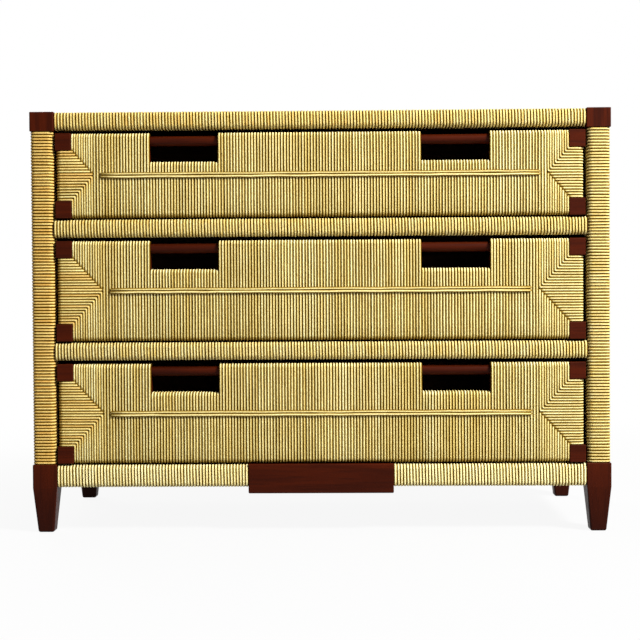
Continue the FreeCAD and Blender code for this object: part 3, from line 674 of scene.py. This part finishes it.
def wind(name, room, axis, inward, hand, seed, tint=(0.3, 0.95), lit=1.0):
    """One winding that fills a box, round an axis, stepping from turn to turn on its inward face."""
    low, high = room
    turn = Matrix((inward, axis.cross(inward), axis)).transposed()
    size = turn.transposed() @ (high - low)
    long, wide, tall = abs(size.z), abs(size.x), abs(size.y)
    turns = max(2, round(long / hand["pitch"]))
    piece = grow(
        name, WINDING, Length=long, Width=wide, Height=tall, Corner_Radius=WRAP_RADIUS,
        Steps=hand["steps"], Turns=turns, Cord_Radius=WOUND_SHARE * long / turns,
        Slant=hand["slant"], Lean=hand["lean"], Sides=CORD_SIDES, Seed=seed,
        Tint_Low=tint[0], Tint_High=tint[1], Lit=lit, Material=STRAW,
    )
    piece.data.transform(Matrix.Translation((low + high) / 2) @ turn.to_4x4())
    return piece


def join(pieces):
    """Joins pieces into the first of them."""
    first = pieces[0]
    with bpy.context.temp_override(active_object=first, selected_editable_objects=pieces):
        bpy.ops.object.join()
    return first


def settle(piece, node, body):
    """The piece stands for a solid node, which it hides, and rides on its body."""
    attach(piece, body)
    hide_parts(node)
    print(piece.name, "has", sum(len(p.vertices) - 2 for p in piece.data.polygons), "triangles")


print("solid sleeves to wind:", [name for name in NODES if "wrap" in name])

# %% Posts
POST_HAND = {"pitch": 0.00585, "slant": 0.0, "lean": 0.018, "steps": 5}
# Painted light: the left posts are tinted browner and the right ones paler, for warmer light from the left.
POST_TINTS_AND_LIGHT = {
    "front_left": (0.0, 0.28), "front_right": (0.25, 0.85),
    "rear_left": (0.15, 0.6), "rear_right": (0.25, 0.85),
}
POST_LITS = {"left": 0.995, "right": 0.98}
seed = 0.0
for post, tint in POST_TINTS_AND_LIGHT.items():
    side = post.split("_")[1]
    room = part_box(f"post_wrap_{post}")
    seed += SEED_STEP
    piece = wind(f"post_winding_{post}", room, UP, INWARD[side], POST_HAND, seed, tint, POST_LITS[side])
    settle(piece, f"post_wrap_{post}", "case")

# %% Front and rear rails
RAIL_HAND = {"pitch": 0.00595, "slant": -0.022, "lean": 0.017, "steps": 6}
# Painted light: the lower rails are tinted paler and greener than the upper ones, for cooler light lower
# down.
RAIL_TINTS_AND_LIGHT = {
    "top_front_rail": (0.15, 0.7), "upper_divider_rail": (0.2, 0.75), "lower_divider_rail": (0.3, 0.9),
    "top_rear_rail": (0.2, 0.8),
}
RAIL_LIT = 0.99
for rail, tint in RAIL_TINTS_AND_LIGHT.items():
    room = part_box(f"{rail}_wrap")
    seed += SEED_STEP
    inward = -BACK if "rear" in rail else BACK
    piece = wind(f"{rail}_winding", room, RIGHT, inward, RAIL_HAND, seed, tint, RAIL_LIT)
    settle(piece, f"{rail}_wrap", "case")

# %% [markdown]
# ## Rails with two windings
#
# The apron block sits on the middle of the bottom front rail, which has a winding at each side of it.
# At each side of the chest the upper and lower rails are wound alike.
# The two windings of such a pair are joined, because one solid stands for both.

# %% Bottom front rail
# Painted light: the bottom rail is tinted pale like the lower rails and painted a little brighter, with a
# lit above 1.
BOTTOM_TINT_AND_LIGHT, BOTTOM_LIT = (0.5, 0.9), 1.045
low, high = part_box("bottom_front_rail_wrap")
apron_low, apron_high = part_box("apron_block")
rooms = {
    "bottom_front_rail_winding": (low, Vector((apron_low.x, high.y, high.z))),
    "right_run": (Vector((apron_high.x, low.y, low.z)), high),
}
runs = []
for name, room in rooms.items():
    seed += SEED_STEP
    runs.append(wind(name, room, RIGHT, BACK, RAIL_HAND, seed, BOTTOM_TINT_AND_LIGHT, BOTTOM_LIT))
settle(join(runs), "bottom_front_rail_wrap", "case")

# %% Side rails
RAIL_BOXES = {"top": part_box("top_front_rail_wrap"), "bottom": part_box("bottom_front_rail_wrap")}
for side in ("left", "right"):
    low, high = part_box(f"side_rail_wraps_{side}")
    runs = []
    for level, (rail_low, rail_high) in RAIL_BOXES.items():
        seed += SEED_STEP
        room = Vector((low.x, low.y, rail_low.z)), Vector((high.x, high.y, rail_high.z))
        runs.append(wind(f"side_rail_windings_{side}_{level}", room, BACK, INWARD[side], RAIL_HAND, seed))
    piece = join(runs)
    piece.name = f"side_rail_windings_{side}"
    settle(piece, f"side_rail_wraps_{side}", "case")

# %% [markdown]
# ## Laid cord
#
# On a drawer front the cord is laid in lengths. Most stand upright and fold over the top and bottom edges.
# At the ends they lie level and fold over the end. The two sets meet along a mitre at each corner block.
# A pattern on a flat board would do from straight ahead, but at the folds and the notches the cords show
# their thickness, so every length is a real cord.
# This tree takes the lines of a whole panel, lets them waver as a hand does, and gives them the same skin.

# %% Laid cord tree
WAVER_GAIN = 4.0


def laid_tree():
    """Skins the lines of a panel's cords, which carry their own girth, tint and outward direction."""
    tree, given, result = new_tree(
        "laid cord", "GeometryNodeTree",
        [
            ("Lines", "Geometry", None), ("Cord Radius", "Float", 0.0027), ("Waver", "Float", 0.0003),
            ("Waver Scale", "Float", 14.0), ("Sides", "Int", CORD_SIDES), ("Material", "Material", None),
        ],
        [("Cord", "Geometry")],
    )
    here = add(tree, "GeometryNodeInputPosition").outputs[0]
    inputs = {"Vector": here, "Scale": given["Waver Scale"], "Detail": 2.0}
    stray = add(tree, "ShaderNodeTexNoise", inputs).outputs[1]
    stray = vector(tree, "SUBTRACT", stray, (0.5, 0.5, 0.5))
    stray = scaled(tree, stray, times(tree, given["Waver"], WAVER_GAIN))
    moved = add(tree, "GeometryNodeSetPosition", {"Geometry": given["Lines"], "Offset": stray}).outputs[0]
    line = add(tree, "GeometryNodeMeshToCurve", {"Mesh": moved}).outputs[0]
    tree.links.new(skinned(tree, line, given, Girth=named(tree, "girth", "FLOAT")), result["Cord"])
    return tree


LAID = laid_tree()
print("laid cord tree has", len(LAID.nodes), "nodes")

# %% [markdown]
# ## Lines for the lengths
#
# Each length is a line of points in the panel's own frame: X along it, Z across it, its face at Y = 0.
# A wire mesh holds all the lines of a panel and the values of their points, so one tree skins them.
# No two lengths of natural cord are the same, so each draws its own tint and girth from a fixed seed.

# %% Lines of a panel
FIELD_TINT, HAND_GIRTH = (0.4, 1.0), (0.985, 1.03)


class Lengths:
    """Collects the lines of one panel's cords, with each point's outward direction, girth and tint.

    Back is how far a folded end reaches behind the face, and look holds the shades of the panel's parts.
    """

    def __init__(self, name, radius, back, seed, look):
        self.name, self.radius, self.back, self.seed, self.look = name, radius, back, seed, look
        self.chance = random.Random(seed)
        self.points, self.edges, self.outward, self.girth, self.tint = [], [], [], [], []

    def lay(self, line, tint=FIELD_TINT, onward=()):
        """Adds one line of (point, outward, girth), with a tint and a girth from a range.

        Onward is the rest of the same line, which has the field's tint.
        """
        shades = [self.chance.uniform(*tint)] * len(line)
        shades += [self.chance.uniform(*FIELD_TINT)] * len(onward)
        thick = self.chance.uniform(*HAND_GIRTH)
        start = len(self.points)
        for shade, (point, outward, girth) in zip(shades, [*line, *onward]):
            self.points.append(point)
            self.outward.append(outward)
            self.girth.append(girth * thick)
            self.tint.append(shade)
        self.edges += [(k, k + 1) for k in range(start, len(self.points) - 1)]

    def mesh(self):
        """The lines as a wire mesh."""
        made = bpy.data.meshes.new(self.name)
        made.from_pydata([tuple(p) for p in self.points], self.edges, [])
        made.attributes.new("outward", "FLOAT_VECTOR", "POINT").data.foreach_set(
            "vector", [part for way in self.outward for part in way]
        )
        for label, values in (("girth", self.girth), ("tint", self.tint)):
            made.attributes.new(label, "FLOAT", "POINT").data.foreach_set("value", values)
        return made


print("a length draws its tint from", FIELD_TINT, "and its girth from", HAND_GIRTH)

# %% [markdown]
# ## Bends in a length
#
# A length folds over the panel's edge in a small round bend, as cord does over a board.
# At a mitre it turns the corner, ends on top of its neighbours in a rounded tip, or dives under them.
# A shorter outward direction reads as a deeper groove, so it shades a cord without changing its shape.

# %% Folds and runs
FOLD_RADIUS, FOLD_ANGLES = 0.0060, (0, 30, 60, 90)
FACE_STEP = 0.026
OUT = Vector((0, -1, 0))


def heading(way):
    """The name of a direction on the face."""
    if way.z:
        return "up" if way.z > 0 else "down"
    return "right" if way.x > 0 else "left"


def fold(lengths, edge, way, bend=FOLD_RADIUS):
    """A cord's line from the face over an edge and back along it. Edge is on the face, way points out."""
    radius = lengths.radius
    # Painted light and shade: a fold is painted lighter or darker by the way it faces, more so the further
    # it turns over the edge.
    edge_light = lengths.look["fold_light"][heading(way)]
    line = []
    for angle in FOLD_ANGLES:
        turn = math.radians(angle)
        inset = radius + bend * (1 - math.sin(turn))
        depth = radius + bend * (1 - math.cos(turn))
        point = edge - way * inset - OUT * depth
        lit = 1 - (1 - edge_light) * math.sin(turn)
        line.append((point, (OUT * math.cos(turn) + way * math.sin(turn)) * lit, 1.0))
    line.append((edge - way * radius - OUT * lengths.back, way, 1.0))
    return line


def run(start, stop):
    """Points between two points of a line, without the two ends."""
    count = max(1, round((stop - start).length / FACE_STEP))
    return [(start.lerp(stop, k / count), OUT, 1.0) for k in range(1, count)]


print("a fold has", len(FOLD_ANGLES) + 1, "points")

# %% Tips and corners
# The last value of each dive and corner point is how lit it is: a diving cord is painted darker as it
# passes under its neighbours, and a corner a little darker at its bend, as painted shade.
ROUNDED_TIP, TIP_BACK = ((0.0, 1.0), (0.45, 0.9), (0.8, 0.62), (1.0, 0.2)), 0.1
DIVE = ((-2.4, 0.0, 1.0), (-1.0, 0.1, 0.8), (0.2, 0.5, 0.5), (1.6, 1.2, 0.3))
CORNER_REACH, CORNER_BEND = 0.8, ((0.0, 1.0, 1.0), (0.5, 1.15, 0.93), (1.0, 1.0, 0.97))


def tip(place, way, radius, over):
    """The end of a cord on the face: a rounded tip on top of its neighbours, or a dive under them."""
    line = []
    if over:
        for step, girth in ROUNDED_TIP:
            line.append((place + way * radius * (step - TIP_BACK) - OUT * radius, OUT, girth))
    else:
        for step, sink, lit in DIVE:
            line.append((place + way * radius * step - OUT * radius * (1 + sink), OUT * lit, 1.0))
    return line


def corner(place, first, second, radius):
    """A cord that turns on the face from one way to another, close round a point."""
    reach = radius * CORNER_REACH
    line = []
    for share, girth, lit in CORNER_BEND:
        arm = place - first * reach * (1 - share) ** 2 + second * reach * share ** 2
        line.append((arm - OUT * radius, OUT * lit, girth))
    return line


print("a tip has", len(ROUNDED_TIP), "points and a corner", len(CORNER_BEND))

# %% [markdown]
# ## Three kinds of length
#
# A whole length crosses the panel from edge to edge. A half length ends at a mitre.
# At two of the four mitres one length lies level and then turns upright, so nothing ends there.
# Neighbours that came from the same hank share a streak of tint and shade.

# %% Kinds of length
END_FOLD_RADIUS = 0.0075
FIELD_LIT, STREAK_TINT, STREAK_LIT = 0.967, 0.16, 0.026


def dimmed(line, lit=FIELD_LIT):
    """The same line with a shorter outward direction, which the finish reads as a deeper groove."""
    return [(point, outward * lit, girth) for point, outward, girth in line]


def whole(lengths, low, high, streak):
    """A cord across the face, folded over both edges. Streak, -1 to 1, shifts its tint and shade."""
    first = fold(lengths, low, -UP)[::-1]
    last = fold(lengths, high, UP)
    middle = run(first[-1][0], last[0][0])
    tint = [min(1.0, part + STREAK_TINT * streak) for part in FIELD_TINT]
    lengths.lay(dimmed(first + middle + last, FIELD_LIT + STREAK_LIT * streak), tint)


def half(lengths, edge, way, stop, over, bend=FOLD_RADIUS, tint=FIELD_TINT, lit=FIELD_LIT):
    """A cord from one edge to a mitre."""
    first = fold(lengths, edge, way, bend)[::-1]
    last = tip(stop, -way, lengths.radius, over)
    start, reach = first[-1][0], last[0][0]
    middle = run(start, reach) if (reach - start).dot(-way) > FACE_STEP else []
    lengths.lay(dimmed(first + middle + last, lit), tint)


def turned_corner(lengths, level_edge, level_way, place, upright_edge, upright_way, tint, lit):
    """A cord that lies level from the panel's end, turns at the mitre and goes on up or down."""
    first = fold(lengths, level_edge, level_way, END_FOLD_RADIUS)[::-1]
    bend = corner(place, -level_way, upright_way, lengths.radius)
    last = fold(lengths, upright_edge, upright_way)
    level = first + run(first[-1][0], bend[0][0]) + bend
    upright = run(bend[-1][0], last[0][0]) + last
    lengths.lay(dimmed(level, lit), tint, dimmed(upright))


print("kinds of length:", [kind.__name__ for kind in (whole, half, turned_corner)])

# %% [markdown]
# ## The parts of a laid panel
#
# The uprights of the middle field stop at the pull notches, where they fold over the notch's lower edge.
# At the ends each row of level cords meets an upright at every mitre.
# Two strands along the middle stitch the uprights down.

# %% Field of a panel
HAND_SHIFT, STREAK_SCALE = 0.00015, 0.11


def on_face(x, z):
    """A place on the panel's face."""
    return RIGHT * x + UP * z


def lay_field(lengths, apex, columns, half_high, notches):
    """The uprights of the middle field, between the tips of the two end triangles."""
    for column in range(columns):
        shift = lengths.chance.uniform(-HAND_SHIFT, HAND_SHIFT)
        x = -apex + (column + 0.5) * 2 * apex / columns + shift
        high = half_high
        for middle, half_wide, bottom in notches:
            if abs(x - middle) < half_wide:
                high = bottom
        streak = noise.noise(Vector((column * STREAK_SCALE, lengths.seed + 0.5, 0.5)))
        whole(lengths, on_face(x, -half_high), on_face(x, high), streak)


print("uprights are laid within", HAND_SHIFT * 1000, "mm of their even places")

# %% Ends and seam of a panel
SEAM_GAP, SEAM_PROUD, SEAM_SWAY = 0.0054, 0.0006, 0.0004
SEAM_TINT, SEAM_LIT, SEAM_GIRTHS = (0.45, 0.6), 0.985, {-1: 1.03, 1: 1.0}


def lay_row(lengths, reach, offset, half_long, half_high):
    """The level cords of one row, above and below the middle at both ends, and the uprights they meet."""
    look = lengths.look
    for right in (-1, 1):
        tint, lit = look["tints_and_light"][right], look["lits"][right]
        end = right * (half_long - look["insets"][right])
        for up in (-1, 1):
            place = on_face(right * reach, up * offset)
            level_edge = on_face(end, up * offset)
            upright_edge = on_face(right * reach, up * half_high)
            if right * up > 0:
                turned_corner(lengths, level_edge, RIGHT * right, place, upright_edge, UP * up, tint, lit)
            else:
                half(lengths, level_edge, RIGHT * right, place, right < 0, END_FOLD_RADIUS, tint, lit)
                half(lengths, upright_edge, UP * up, place, right > 0)


def lay_seam(lengths, reach, tuck):
    """The two strands along the middle. Their ends are tucked between the cords of the field."""
    count = round(2 * reach / FACE_STEP)
    for strand in (-1, 1):
        level, thick = strand * SEAM_GAP / 2, SEAM_GIRTHS[strand]
        line = [(on_face(-reach - tuck, level) - OUT * lengths.radius, OUT, thick)]
        for k in range(count + 1):
            sway = lengths.chance.uniform(-SEAM_SWAY, SEAM_SWAY)
            spot = on_face(-reach + 2 * reach * k / count, level + sway)
            line.append((spot + OUT * SEAM_PROUD, OUT, thick))
        line.append((on_face(reach + tuck, level) - OUT * lengths.radius, OUT, thick))
        lengths.lay(dimmed(line, SEAM_LIT), SEAM_TINT)


print("the seam's strands lie", SEAM_GAP * 1000, "mm apart")

# %% [markdown]
# ## The rule of a laid panel
#
# One rule lays every panel: how far the level cords reach in from the ends follows from the panel's height,
# because the mitres are near 45 degrees and start at the corner blocks.
# The number of lengths follows from the cord's thickness.

# %% Panel rule
ROW_PITCH, FIELD_PITCH, LAID_SHARE = 0.0055, 0.00575, 0.525
BLOCK_WIDTH, BLOCK_HEIGHT = 0.031, 0.033
SEAM_INSET, MITRE_SLOPE = 0.0175, 0.925
WAVER, WAVER_SCALE = 0.00022, 16.0
PLAIN_LOOK = {
    "tints_and_light": {-1: (0.35, 0.95), 1: (0.35, 0.95)},
    "lits": {-1: 0.975, 1: 0.975},
    "insets": {-1: 0.001, 1: 0.001},
    # Painted shade: every fold of a plain panel is a little darker.
    "fold_light": {"up": 0.95, "down": 0.95, "left": 0.95, "right": 0.95},
}


def panel(name, size, back, seed, notches=(), slope=MITRE_SLOPE, look=PLAIN_LOOK):
    """Lays the cords of one panel. Notches are (middle, half width, bottom) in the panel's frame."""
    half_long, half_high = size[0] / 2, size[1] / 2
    inner_long, inner_high = half_long - BLOCK_WIDTH, half_high - BLOCK_HEIGHT
    rows = round(inner_high / ROW_PITCH)
    pitch = inner_high / rows
    apex = inner_long - slope * inner_high
    columns = round(2 * apex / FIELD_PITCH)
    lengths = Lengths(name, LAID_SHARE * 2 * apex / columns, back, seed, look)
    lay_field(lengths, apex, columns, half_high, notches)
    for row in range(rows):
        offset = (row + 0.5) * pitch
        lay_row(lengths, apex + slope * offset, offset, half_long, half_high)
    lay_seam(lengths, apex - SEAM_INSET, pitch / 2)
    print(name, "has", columns, "uprights in its field and", 2 * rows, "rows at each end")
    return lengths


def lay_panel(lengths, place):
    """Skins a panel's cords and puts them where the panel is."""
    piece = grow(
        lengths.name, LAID, lengths.mesh(), Cord_Radius=lengths.radius,
        Waver=WAVER, Waver_Scale=WAVER_SCALE, Sides=CORD_SIDES, Material=STRAW,
    )
    piece.data.transform(place)
    return piece


print("laid cord is about", round(2000 * LAID_SHARE * FIELD_PITCH, 1), "mm thick")

# %% [markdown]
# ## Drawer fronts
#
# Each front has two notches in its top edge. Its bare corner blocks stand a millimetre proud of the cord.
# The cord is tinted browner at the left end and paler at the right, as in the picture: this paints the
# warmer light on the left.
# The upper front is less high than the others, and its mitres are a little steeper.

# %% Drawer fronts
BLOCK_PROUD = 0.001
NOTCH_WIDTH, NOTCH_DEPTH, NOTCH_SPACING = 0.1355, 0.0556, 0.522
MITRE_SLOPES = {"upper": 0.87, "middle": MITRE_SLOPE, "lower": MITRE_SLOPE}
FRONT_SEED = 40
FRONT_LOOK = {
    # Painted light: the left end's tint is browner and the right end's paler, for warmer light from the
    # left.
    "tints_and_light": {-1: (0.08, 0.42), 1: (0.6, 1.0)},
    "lits": {-1: 1.015, 1: 0.965},
    "insets": {-1: 0.001, 1: 0.0028},
    # Painted light and shade: folds over the top edge are painted lighter, and folds over the bottom edge
    # and the left end darker.
    "fold_light": {"up": 1.07, "down": 0.84, "left": 0.82, "right": 1.0},
}
for number, (drawer, slope) in enumerate(MITRE_SLOPES.items()):
    low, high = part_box(f"{drawer}_drawer_front_frame")
    middle, size = (low + high) / 2, high - low
    bottom = size.z / 2 - NOTCH_DEPTH
    notches = [(side * NOTCH_SPACING / 2, NOTCH_WIDTH / 2, bottom) for side in (-1, 1)]
    face = low.y + BLOCK_PROUD
    name = f"{drawer}_drawer_front_cords"
    lengths = panel(name, (size.x, size.z), high.y - face, FRONT_SEED + number, notches, slope, FRONT_LOOK)
    piece = lay_panel(lengths, Matrix.Translation((middle.x, face, middle.z)))
    settle(piece, f"{drawer}_drawer_front_weave", f"{drawer}_drawer")

# %% [markdown]
# ## Sides and top
#
# The sides and the top aren't in view, so they follow the rule of the fronts, without notches,
# and their cord is tinted evenly from end to end.
# A panel that faces another way only needs its frame turned before its place is added.

# %% Side and top panels
FACE_RIGHT = Matrix(((0, -1, 0), (0, 0, -1), (1, 0, 0))).to_4x4()
FACE_LEFT = Matrix(((0, 1, 0), (0, 0, 1), (1, 0, 0))).to_4x4()
FACE_UP = Matrix(((1, 0, 0), (0, 0, 1), (0, -1, 0))).to_4x4()
SIDE_SEEDS, TOP_SEED = {"left": 54, "right": 55}, 60

for side, turn in (("left", FACE_LEFT), ("right", FACE_RIGHT)):
    low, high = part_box(f"side_panel_{side}")
    middle, size = (low + high) / 2, high - low
    face = low.x + BLOCK_PROUD if side == "left" else high.x - BLOCK_PROUD
    lengths = panel(f"side_cords_{side}", (size.z, size.y), size.x - BLOCK_PROUD, SIDE_SEEDS[side])
    piece = lay_panel(lengths, Matrix.Translation((face, middle.y, middle.z)) @ turn)
    settle(piece, f"side_weave_{side}", "case")

low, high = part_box("top_panel")
middle, size = (low + high) / 2, high - low
lengths = panel("top_cords", (size.x, size.y), size.z - BLOCK_PROUD, TOP_SEED)
place = Matrix.Translation((middle.x, middle.y, high.z - BLOCK_PROUD)) @ FACE_UP
settle(lay_panel(lengths, place), "top_weave", "case")

# %% [markdown]
# ## Finishes on the solid pieces
#
# The wood keeps its solid shapes. Each piece only gets its finish, with the grain along its longest side.

# %% Finish the wood
WOODS = {"mahogany": MAHOGANY, "drawer_wood": INSIDE_WOOD}
for name, node in NODES.items():
    if node.hide_render:
        continue
    low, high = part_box(name)
    sides = high - low
    longest = "xyz"[max(range(3), key=lambda k: sides[k])]
    given = node.data.materials[0].name.split(".")[0]
    node.material_slots[0].material = WOODS[given][longest] if given in WOODS else STEEL
print("finished nodes:", sum(not node.hide_render for node in NODES.values()))

# %% [markdown]
# ## Floor and backdrop
#
# The chest stands on a plain pale floor in an even white room.
# The camera sees white where nothing stands, while the light that reaches the chest is set apart from it.
# The Light Path node tells the two apart, so the white needs no extra light on the chest.

# %% Floor
FLOOR_HALF, FLOOR_PAINT, WHITE = 14.0, (0.4, 0.4, 0.4, 1), (1, 1, 1, 1)
FLOOR_GLOW, FLOOR_NEAR, FLOOR_FAR = 0.92, 0.5, 2.2


def seen_directly(tree):
    """1 for rays from the camera and for what mirrors and glass show, 0 for the light on the chest."""
    rays = add(tree, "ShaderNodeLightPath").outputs
    mirrored = calc(tree, "MAXIMUM", rays["Is Glossy Ray"], rays["Is Transmission Ray"])
    return calc(tree, "MAXIMUM", rays["Is Camera Ray"], mirrored)


def floor_finish():
    """Paint that keeps the shadow, under a white that grows away from the chest."""
    made = bpy.data.materials.new("floor")
    made.use_nodes = True
    tree = made.node_tree
    tree.nodes.remove(tree.nodes["Principled BSDF"])
    paint = add(tree, "ShaderNodeBsdfDiffuse", {"Color": FLOOR_PAINT}).outputs[0]
    glow = add(tree, "ShaderNodeEmission", {"Color": WHITE, "Strength": 1.0}).outputs[0]
    spot = add(tree, "ShaderNodeTexCoord").outputs["Object"]
    away = add(tree, "ShaderNodeVectorMath", {0: spot}, operation="LENGTH").outputs["Value"]
    white = spread(tree, away, FLOOR_NEAR, FLOOR_FAR, FLOOR_GLOW, 1.0)
    amount = times(tree, seen_directly(tree), white)
    both = add(tree, "ShaderNodeMixShader", {0: amount, 1: paint, 2: glow}).outputs[0]
    tree.links.new(both, tree.nodes["Material Output"].inputs["Surface"])
    return made


def floor():
    """A wide pale floor."""
    mesh = bpy.data.meshes.new("floor")
    reach = FLOOR_HALF
    corners = [(-reach, -reach, 0), (reach, -reach, 0), (reach, reach, 0), (-reach, reach, 0)]
    mesh.from_pydata(corners, [], [(0, 1, 2, 3)])
    mesh.materials.append(floor_finish())
    piece = bpy.data.objects.new("floor", mesh)
    bpy.context.scene.collection.objects.link(piece)


floor()
print("floor of", 2 * FLOOR_HALF, "m")

# %% Room
ROOM_LIGHT = 0.10


def room_light():
    """White where the room is seen, and soft even light elsewhere."""
    world = bpy.data.worlds.new("room")
    world.use_nodes = True
    tree = world.node_tree
    shade = tree.nodes["Background"]
    shade.inputs["Color"].default_value = WHITE
    amount = spread(tree, seen_directly(tree), 0.0, 1.0, ROOM_LIGHT, 1.0)
    tree.links.new(amount, shade.inputs["Strength"])
    bpy.context.scene.world = world


room_light()
print("room light of", ROOM_LIGHT)

# %% [markdown]
# ## Lamps
#
# A broad lamp above and to the right rounds the cord, and a weaker one in front opens the shade.
# A third, behind and to the left, keeps the back and the left side readable when the chest is turned round.

# %% Lamps
CHEST_MIDDLE = Vector((0.0, 0.0, 0.45))
LAMPS = {
    "key": {"place": (2.77, -2.31, 3.31), "size": 0.9, "power": 490.0},
    "fill": {"place": (1.2, -4.0, 1.0), "size": 1.6, "power": 10.0},
    "back": {"place": (-2.2, 3.6, 2.4), "size": 2.0, "power": 190.0},
}
for name, lamp in LAMPS.items():
    light = bpy.data.lights.new(name, "AREA")
    light.size = lamp["size"]
    light.energy = lamp["power"]
    piece = bpy.data.objects.new(name, light)
    piece.location = lamp["place"]
    piece.rotation_euler = (CHEST_MIDDLE - Vector(lamp["place"])).to_track_quat("-Z", "Y").to_euler()
    bpy.context.scene.collection.objects.link(piece)
